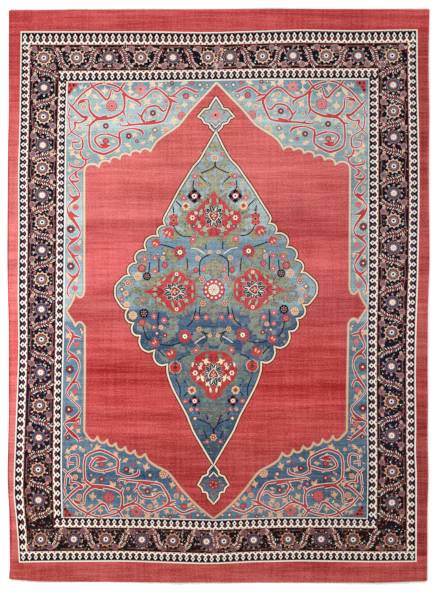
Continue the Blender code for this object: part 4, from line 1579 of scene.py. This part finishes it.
def dyed_wool(name, tones, groups, wear, relief=0.0012):
    """A wool material whose dye changes down the carpet."""
    rows, pile, flecks = groups
    material = bpy.data.materials.new(name)
    material.use_nodes = True
    nodes = Nodes(material.node_tree)
    place_down = nodes.add("ShaderNodeGroup", node_tree=rows).outputs["Row"]
    ramp = nodes.add("ShaderNodeValToRGB", {"Fac": place_down})
    stops = ramp.color_ramp.elements
    while len(stops) > 1:
        stops.remove(stops[-1])
    for k, (row, *color) in enumerate(tones):
        place = min(max((row - HEAD_ROW) / (FOOT_ROW - HEAD_ROW), 0.0), 1.0)
        stop = stops[0] if k == 0 else stops.new(place)
        stop.position = place
        stop.color = (*Color([c / 255 for c in color]).from_srgb_to_scene_linear(), 1.0)
    dye = ramp.outputs["Color"]
    if wear.flecks:
        dye = nodes.add("ShaderNodeGroup", node_tree=flecks)
        nodes.put(ramp.outputs["Color"], dye.inputs["Dye"])
        nodes.put(wear.flecks, dye.inputs["Share"])
        dye = dye.outputs["Color"]
    wool = nodes.add("ShaderNodeGroup", node_tree=pile)
    nodes.put(dye, wool.inputs["Dye"])
    for label in ("Streaks", "Knots", "Dust", "Painted_glare", "Right"):
        nodes.put(getattr(wear, label.lower()), wool.inputs[label])
    height = {"Height": wool.outputs["Height"], "Distance": relief, "Strength": 0.5}
    shader = material.node_tree.nodes["Principled BSDF"]
    nodes.put(wool.outputs["Color"], shader.inputs["Base Color"])
    nodes.put(wool.outputs["Roughness"], shader.inputs["Roughness"])
    nodes.put(nodes.add("ShaderNodeBump", height).outputs["Normal"], shader.inputs["Normal"])
    set_inputs(shader, {"Specular IOR Level": 0.08, "Sheen Weight": 0.03, "Sheen Roughness": 0.5})
    return material


def link(piece, slot_name, *nodes):
    """Makes a finished piece a part of the carpet."""
    bpy.context.scene.collection.objects.link(piece)
    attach(piece, "root")
    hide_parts(*nodes)


def weave_cloth(cartoon, swell, grid):
    """The top of the cloth as triangles of one dye each, and the loop of points around its rim."""
    points, lines = dye_changes(cartoon)
    corners = {corner for line in lines for corner in line}
    kept = sorted(corners)
    new_place = {corner: k for k, corner in enumerate(kept)}
    spots = [Vector(points[corner]) for corner in kept]
    columns, rows = int((CLOTH_HIGH.x - CLOTH_LOW.x) / grid), int((CLOTH_HIGH.y - CLOTH_LOW.y) / grid)
    for i in range(columns):
        for j in range(rows):
            x = CLOTH_LOW.x + 0.03 + (CLOTH_HIGH.x - CLOTH_LOW.x - 0.06) * i / (columns - 1)
            y = CLOTH_LOW.y + 0.03 + (CLOTH_HIGH.y - CLOTH_LOW.y - 0.06) * j / (rows - 1)
            spots.append(Vector((x, y)))
    pairs = sorted({(min(line), max(line)) for line in lines})
    edges = [(new_place[a], new_place[b]) for a, b in pairs]
    flat, sides, faces, _, side_of, _ = delaunay_2d_cdt(spots, edges, [], 0, CLOSE, True)
    dye_beside = {}
    for (a, b), origins in zip(sides, side_of):
        if not origins:
            continue
        start, end = pairs[origins[0]]
        if (flat[b] - flat[a]).dot(spots[new_place[end]] - spots[new_place[start]]) < 0:
            start, end = end, start
        dye_beside[a, b] = lines.get((start, end), OUTSIDE)
        dye_beside[b, a] = lines.get((end, start), OUTSIDE)
    faces = [list(face) for face in faces]
    dyes = spread_dyes(faces, dye_beside)
    tops = [face for face, dye in zip(faces, dyes) if dye != OUTSIDE]
    dyes = [dye for dye in dyes if dye != OUTSIDE]
    verts = [(p.x, p.y, pile_height(p.x, p.y, swell)) for p in flat]
    uses = {side for face in tops for side in zip(face, face[1:] + face[:1])}
    after = {a: b for a, b in uses if (b, a) not in uses}
    rim = [next(iter(after))]
    while after[rim[-1]] != rim[0]:
        rim.append(after[rim[-1]])
    return verts, tops, dyes, rim


def dye_changes(cartoon):
    """The lines of the design where one dye meets another, each way round with the dye at its left."""
    points = [Vector(p) for p in cartoon.points]
    shapes = [list(span) for _, span in cartoon.shapes]
    flat, _, tops, _, _, owners = delaunay_2d_cdt(points, [], shapes, 1, CLOSE, True)
    flat = [tuple(p) for p in flat]
    tops = [list(face) for face in tops]
    dyes = topmost_dyes(cartoon, flat, tops, owners)
    beside = {side: dye for face, dye in zip(tops, dyes) for side in zip(face, face[1:] + face[:1])}
    lines = {side: dye for side, dye in beside.items() if beside.get(side[::-1]) != dye}
    return flat, straightened(flat, lines)


def straightened(flat, lines):
    """The same lines without the points that lie along a straight run."""
    neighbours = {}
    for a, b in lines:
        neighbours.setdefault(a, set()).add(b)
        neighbours.setdefault(b, set()).add(a)
    for middle in list(neighbours):
        if len(neighbours[middle]) != 2:
            continue
        a, b = neighbours[middle]
        base = math.dist(flat[a], flat[b])
        off = abs(turn_at(flat[a], flat[b], flat[middle])) / max(base, 1e-9)
        if off > STRAIGHT or b in neighbours[a] or base > 0.5:
            continue
        for start, end in ((a, b), (b, a)):
            dye = lines.pop((start, middle), None)
            lines.pop((middle, end), None)
            if dye is not None:
                lines[start, end] = dye
        neighbours[a].remove(middle)
        neighbours[b].remove(middle)
        neighbours[a].add(b)
        neighbours[b].add(a)
        del neighbours[middle]
    return lines


def spread_dyes(faces, dye_beside):
    """The dye of each face, spread from the lines of the design to the faces between them."""
    face_left = {side: k for k, face in enumerate(faces) for side in zip(face, face[1:] + face[:1])}
    dyes = [None] * len(faces)
    waiting = []
    for side, dye in dye_beside.items():
        k = face_left.get(side)
        if k is not None and dyes[k] is None:
            dyes[k] = dye
            waiting.append(k)
    while waiting:
        k = waiting.pop()
        face = faces[k]
        for a, b in zip(face, face[1:] + face[:1]):
            other = face_left.get((b, a))
            if (a, b) not in dye_beside and other is not None and dyes[other] is None:
                dyes[other] = dyes[k]
                waiting.append(other)
    return dyes


def topmost_dyes(cartoon, flat, tops, owners):
    """The dye of each face: that of the last shape that covers its middle."""
    spots = np.array(flat)
    middles = np.array([spots[face].mean(axis=0) for face in tops])
    face = np.repeat(np.arange(len(tops)), [len(owner) for owner in owners])
    shape = np.concatenate([np.array(owner, int) for owner in owners])
    points = np.array(cartoon.points)
    low = np.array([points[span.start : span.stop].min(axis=0) for _, span in cartoon.shapes])
    high = np.array([points[span.start : span.stop].max(axis=0) for _, span in cartoon.shapes])
    near = ((middles[face] >= low[shape]) & (middles[face] <= high[shape])).all(axis=1)
    top = np.zeros(len(tops), int)
    np.maximum.at(top, face[near], shape[near])
    dye_of = np.array([DYE_ORDER.index(dye) for dye, _ in cartoon.shapes])
    return dye_of[top].tolist()


# The cloth's rim, ring by ring down from its top: its height as a share of the top's, and its bulge.
RIM_RINGS = ((0.62, 0.0012), (0.12, 0.0010), (0.0, 0.0))

# Rim points farther than this from the middle bulge out sideways, or out at the ends.
SIDE_FROM = 1.3
END_FROM = 1.79


def make_cloth(cartoon, swell, grid, materials):
    """The knotted cloth as one closed sheet: its dyed top, a rounded rim and a flat back."""
    verts, tops, dyes, rim = weave_cloth(cartoon, swell, grid)
    count = len(verts)
    middle_x, middle_y = CLOTH_MIDDLE.x, CLOTH_MIDDLE.y
    for share, grow in RIM_RINGS:
        for k in rim:
            x, y, z = verts[k]
            out_x = math.copysign(grow, x - middle_x) if abs(x - middle_x) > SIDE_FROM else 0.0
            out_y = math.copysign(grow, y - middle_y) if abs(y - middle_y) > END_FROM else 0.0
            verts.append((x + out_x, y + out_y, z * share))
    faces, slots = list(tops), list(dyes)
    size = len(rim)
    rings = [rim] + [[count + r * size + k for k in range(size)] for r in range(len(RIM_RINGS))]
    for upper, lower in zip(rings, rings[1:]):
        for k in range(size):
            after = (k + 1) % size
            faces.append([upper[after], upper[k], lower[k], lower[after]])
            slots.append(0)
    faces.append(rings[-1][::-1])
    slots.append(len(DYE_ORDER))
    mesh = bpy.data.meshes.new("carpet_pile")
    mesh.from_pydata(verts, [], faces)
    for material in materials:
        mesh.materials.append(material)
    mesh.polygons.foreach_set("material_index", slots)
    add_bake_map(mesh, len(tops), size)
    mesh.validate()
    mesh.update()
    return bpy.data.objects.new("carpet_pile", mesh)


def add_bake_map(mesh, top_faces, rim_size):
    """A flat map: the pile's whole top on the left, and the rim and the back small on the right."""
    layer = mesh.uv_layers.new(name="OFBake")
    height = CLOTH_HIGH.y - CLOTH_LOW.y + 0.02
    spots = np.empty(3 * len(mesh.vertices))
    mesh.vertices.foreach_get("co", spots)
    corners = np.empty(len(mesh.loops), int)
    mesh.loops.foreach_get("vertex_index", corners)
    uv = (spots.reshape(-1, 3)[corners, :2] - (CLOTH_LOW.x - 0.01, CLOTH_LOW.y - 0.01)) / height
    back = mesh.polygons[-1]
    uv[back.loop_start :] = (0.76, 0.02) + uv[back.loop_start :] * 0.3
    for face in mesh.polygons[top_faces:-1]:
        ring, k = divmod(face.index - top_faces, rim_size)
        left, right = 0.76 + 0.06 * ring, 0.80 + 0.06 * ring
        low, high = (0.36 + 0.62 * (k + j) / rim_size for j in (0, 1))
        uv[face.loop_start : face.loop_start + 4] = ((left, high), (left, low), (right, low), (right, high))
    layer.data.foreach_set("uv", uv.astype(np.float32).ravel())


def tube_faces(start, rings, section):
    """The faces of a closed tube of so many rings, whose points count up from a first one."""
    faces = []
    for k in range(rings - 1):
        for j in range(section):
            a, b = start + section * k + j, start + section * k + (j + 1) % section
            faces.append((a, b, b + section, a + section))
    last = start + section * (rings - 1)
    return [*faces, tuple(range(start, start + section)), tuple(range(last, last + section))]


def overcast_cord(name, edge, outward, wrap):
    """One side cord: yarn wrapped over and over around the outer warps."""
    y_from, y_to = [end(edge(0) - outward * CORD_WIDTH / 2) for end in (foot_edge, head_edge)]
    section = 8
    verts = []
    stations = int((y_to - y_from) / wrap) * 2 + 1
    for k in range(stations):
        y_flat = y_from + (y_to - y_from) * k / (stations - 1)
        x_middle = edge(y_flat) - outward * CORD_WIDTH / 2 + CLOTH_MIDDLE.x
        slack = 1.0 + 0.05 * noise.noise((y_flat * 9.0, outward, 1.0))
        full = slack * (1.0 if k % 2 else 0.80)
        for j in range(section):
            angle = math.tau * j / section
            x = x_middle + math.cos(angle) * CORD_WIDTH / 2 * full
            y = y_flat + 0.0016 * math.cos(angle) + CLOTH_MIDDLE.y
            verts.append((x, y, max(CORD_HEIGHT * 0.5 * (1 + math.sin(angle) * full), 0.0)))
    return finished(name, verts, tube_faces(0, stations, section), smooth=True)


def finished(name, verts, faces, smooth=False):
    """A closed mesh whose faces point outwards."""
    mesh = bpy.data.meshes.new(name)
    mesh.from_pydata(verts, [], faces)
    builder = bmesh.new()
    builder.from_mesh(mesh)
    bmesh.ops.recalc_face_normals(builder, faces=builder.faces)
    builder.to_mesh(mesh)
    builder.free()
    if smooth:
        mesh.shade_smooth()
    return bpy.data.objects.new(name, mesh)


def fringe_piece(name, edge, outward, reach, threads, rng):
    """A flat woven end with the cut warps standing out of it, some short, some stray."""
    x_from = left_edge(outward * CARPET_LENGTH / 2) + CORD_WIDTH + 0.001
    x_to = right_edge(outward * CARPET_LENGTH / 2) - CORD_WIDTH - 0.001
    verts = []
    web = 0.0045
    columns = 220
    for k in range(columns + 1):
        x = x_from + (x_to - x_from) * k / columns
        inner = edge(x) + outward * 0.0004
        outer = edge(x) + outward * (web + 0.0006 * math.sin(k * 1.9))
        rise = 0.0026 + 0.0005 * math.sin(k * 2.4)
        for y, z in ((inner, 0.0002), (outer, 0.0002), (outer, rise * 0.7), (inner, rise)):
            verts.append((x + CLOTH_MIDDLE.x, y + CLOTH_MIDDLE.y, z))
    faces = tube_faces(0, columns + 1, 4)
    pitch = (x_to - x_from) / threads
    for k in range(threads):
        x = x_from + (k + 0.5) * pitch + rng.uniform(-0.2, 0.2) * pitch
        clump = 0.5 + 0.5 * noise.noise((x * 14.0, outward * 3.0, 0.5))
        length = reach * (0.55 + 0.55 * clump) * rng.uniform(0.75, 1.08)
        lean = rng.uniform(-0.0022, 0.0022) + 0.0022 * math.sin(x * 70.0)
        radii = (0.00085, 0.00075, 0.00085, 0.0007, 0.0005)
        faces += tube_faces(len(verts), len(radii), 4)
        for step, r in enumerate(radii):
            t = step / 4
            u = x + lean * t * t + 0.0003 * math.sin(5 * t + k) + CLOTH_MIDDLE.x
            v = edge(x) + outward * (0.0022 + length * t) + CLOTH_MIDDLE.y
            z = 0.0021 * (1 - t) + 0.0008 + 0.0006 * rng.random()
            verts.extend([(u - r, v, z), (u, v, z - r), (u + r, v, z), (u, v, z + r)])
    return finished(name, verts, faces)


class CarpetSizes(bpy.types.PropertyGroup):
    """Sizes that a user would change."""

    swell: bpy.props.FloatProperty(
        name="Swell", description="How much the cloth rises and falls as it lies",
        default=0.0007, min=0.0, max=0.003, unit="LENGTH",
    )
    grid: bpy.props.FloatProperty(
        name="Grid", description="Spacing of the points that carry the swell",
        default=0.045, min=0.02, max=0.2, unit="LENGTH",
    )
    knot: bpy.props.FloatProperty(
        name="Knot", description="Width of one knot of the pile",
        default=0.0028, min=0.001, max=0.01, unit="LENGTH",
    )
    wrap: bpy.props.FloatProperty(
        name="Wrap", description="Width of one turn of the overcast yarn",
        default=0.0046, min=0.002, max=0.02, unit="LENGTH",
    )
    head_threads: bpy.props.FloatProperty(
        name="Head threads", description="Length of the cut warps at the head",
        default=0.0115, min=0.002, max=0.05, unit="LENGTH",
    )
    foot_threads: bpy.props.FloatProperty(
        name="Foot threads", description="Length of the cut warps at the foot",
        default=0.0170, min=0.002, max=0.05, unit="LENGTH",
    )
    threads: bpy.props.IntProperty(
        name="Threads", description="Number of cut warps at each end",
        default=640, min=10, max=2000,
    )
    seed: bpy.props.IntProperty(
        name="Seed", description="Picks where the small scattered knots fall",
        default=7,
    )


class CarpetStage(bpy.types.PropertyGroup):
    """The floor, the light and the camera."""

    camera_height: bpy.props.FloatProperty(
        name="Camera height", description="Height of the camera over the pile",
        default=8.0, min=2.0, max=30.0, unit="LENGTH",
    )
    key_light: bpy.props.FloatProperty(
        name="Key light", description="Power of the soft light at the left",
        default=98.0, min=0.0, unit="POWER",
    )
    sky_light: bpy.props.FloatProperty(
        name="Sky light", description="Strength of the light from all around",
        default=0.74, min=0.0,
    )
    floor_color: bpy.props.FloatVectorProperty(
        name="Floor", description="Colour of the floor",
        default=(1.0, 1.0, 1.0), size=3, min=0.0, max=1.0, subtype="COLOR",
    )


def shared_groups(knot):
    """The node groups that the yarns share, made once."""
    rows = bpy.data.node_groups.get("weft_rows") or rows_group()
    pile = bpy.data.node_groups.get("wool_pile") or pile_group(knot)
    flecks = bpy.data.node_groups.get("yarn_flecks") or fleck_group()
    return rows, pile, flecks


class CARPET_OT_weave_pile(bpy.types.Operator):
    """Weaves the knotted cloth with its whole design"""

    bl_idname = "carpet.weave_pile"
    bl_label = "Weave the pile"

    def execute(self, context):
        sizes = context.scene.carpet_sizes
        groups = shared_groups(sizes.knot)
        materials = []
        for dye, tones in (*DYES.items(), ("back", BACK_TONES)):
            materials.append(dyed_wool(f"{dye}_wool", tones, groups, DYE_WEAR.get(dye, Wear())))
        piece = make_cloth(draw_cartoon(sizes.seed), sizes.swell, sizes.grid, materials)
        link(piece, "madder_pile", "knotted_body")
        return {"FINISHED"}


class CARPET_OT_overcast_sides(bpy.types.Operator):
    """Wraps the yarn of the two side cords"""

    bl_idname = "carpet.overcast_sides"
    bl_label = "Overcast the sides"

    def execute(self, context):
        sizes = context.scene.carpet_sizes
        yarn = dyed_wool("overcast_yarn", OVERCAST_TONES, shared_groups(sizes.knot), Wear(0.4, 0.12))
        for name, edge, outward in (("side_cord_left", left_edge, -1), ("side_cord_right", right_edge, 1)):
            piece = overcast_cord(f"overcast_{name[10:]}", edge, outward, sizes.wrap)
            piece.data.materials.append(yarn)
            link(piece, "madder_overcast", name)
        return {"FINISHED"}


class CARPET_OT_hang_fringes(bpy.types.Operator):
    """Leaves the cut warps standing at both ends"""

    bl_idname = "carpet.hang_fringes"
    bl_label = "Leave the fringes"

    def execute(self, context):
        sizes = context.scene.carpet_sizes
        rng = random.Random(sizes.seed)
        wear = Wear(0.25, 0.12, 0.1)
        warps = dyed_wool("undyed_cotton_yarn", COTTON_TONES, shared_groups(sizes.knot), wear, 0.0004)
        ends = (("head", head_edge, 1, sizes.head_threads), ("foot", foot_edge, -1, sizes.foot_threads))
        for name, edge, outward, reach in ends:
            piece = fringe_piece(f"warps_{name}", edge, outward, reach, sizes.threads, rng)
            piece.data.materials.append(warps)
            link(piece, "undyed_cotton", f"fringe_{name}")
        return {"FINISHED"}


class CARPET_OT_declare_cloth(bpy.types.Operator):
    """Does nothing: the pile already lies as a sheet, with its cords and warps on it"""

    bl_idname = "carpet.declare_cloth"
    bl_label = "Declare the cloth"

    def execute(self, context):
        return {"FINISHED"}


class CARPET_OT_set_stage(bpy.types.Operator):
    """Sets up the floor, the light and the camera over the carpet"""

    bl_idname = "carpet.set_stage"
    bl_label = "Set the stage"

    def execute(self, context):
        stage = context.scene.carpet_stage
        bpy.ops.object.select_all(action="DESELECT")
        bpy.ops.mesh.primitive_plane_add(size=FLOOR_SIZE, location=(0, 0, 0))
        floor = context.object
        floor.name = "floor"
        floor.data.materials.append(floor_finish(stage.floor_color))
        world = bpy.data.worlds.new("soft_room")
        world.use_nodes = True
        sky = {"Color": (1.0, 0.985, 0.97, 1.0), "Strength": stage.sky_light}
        set_inputs(world.node_tree.nodes["Background"], sky)
        context.scene.world = world
        bpy.ops.object.light_add(type="AREA", location=KEY_PLACE)
        key = context.object
        key.name = "key_light"
        key.data.size = KEY_SIZE
        key.data.energy = stage.key_light
        key.rotation_euler = (Vector(KEY_AIM) - key.location).to_track_quat("-Z", "Y").to_euler()
        camera = bpy.data.objects.new("camera", bpy.data.cameras.new("camera"))
        context.scene.collection.objects.link(camera)
        camera.location = (*on_floor(*VIEW_MIDDLE), CLOTH_THICKNESS + stage.camera_height)
        camera.data.sensor_width = SENSOR_WIDTH
        camera.data.lens = SENSOR_WIDTH * stage.camera_height / (VIEW_ROWS * SQUARE)
        camera.data.clip_end = 60.0
        context.scene.camera = camera
        context.scene.view_settings.view_transform = "Standard"
        context.scene.view_settings.look = "None"
        return {"FINISHED"}


def floor_finish(color):
    """A plain matt floor that also glows a little."""
    material = bpy.data.materials.new("pale_floor")
    material.use_nodes = True
    shader = material.node_tree.nodes["Principled BSDF"]
    set_inputs(shader, {"Base Color": (*color, 1.0), "Roughness": 0.85, "Specular IOR Level": 0.2})
    set_inputs(shader, {"Emission Color": (*color, 1.0), "Emission Strength": 0.16})
    return material


class CARPET_PT_sidebar(bpy.types.Panel):
    """The carpet's sizes and steps"""

    bl_idname = "CARPET_PT_sidebar"
    bl_label = "Knotted carpet"
    bl_space_type = "VIEW_3D"
    bl_region_type = "UI"
    bl_category = "Carpet"

    def draw(self, context):
        for group in (context.scene.carpet_sizes, context.scene.carpet_stage):
            for name in group.__annotations__:
                self.layout.prop(group, name)
        for operator in STEPS:
            self.layout.operator(operator.bl_idname)


STEPS = (
    CARPET_OT_weave_pile,
    CARPET_OT_overcast_sides,
    CARPET_OT_hang_fringes,
    CARPET_OT_declare_cloth,
    CARPET_OT_set_stage,
)
CLASSES = (CarpetSizes, CarpetStage, *STEPS, CARPET_PT_sidebar)


def register():
    """Adds the carpet's settings, steps and sidebar to Blender."""
    for cls in CLASSES:
        bpy.utils.register_class(cls)
    bpy.types.Scene.carpet_sizes = bpy.props.PointerProperty(type=CarpetSizes)
    bpy.types.Scene.carpet_stage = bpy.props.PointerProperty(type=CarpetStage)


def unregister():
    """Takes them out again."""
    del bpy.types.Scene.carpet_stage
    del bpy.types.Scene.carpet_sizes
    for cls in reversed(CLASSES):
        bpy.utils.unregister_class(cls)


def main():
    """Builds the whole scene."""
    register()
    bpy.ops.object.select_all(action="DESELECT")
    bpy.ops.carpet.weave_pile()
    bpy.ops.carpet.overcast_sides()
    bpy.ops.carpet.hang_fringes()
    bpy.ops.carpet.declare_cloth()
    bpy.ops.carpet.set_stage()
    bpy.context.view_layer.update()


if __name__ == "__main__":
    main()
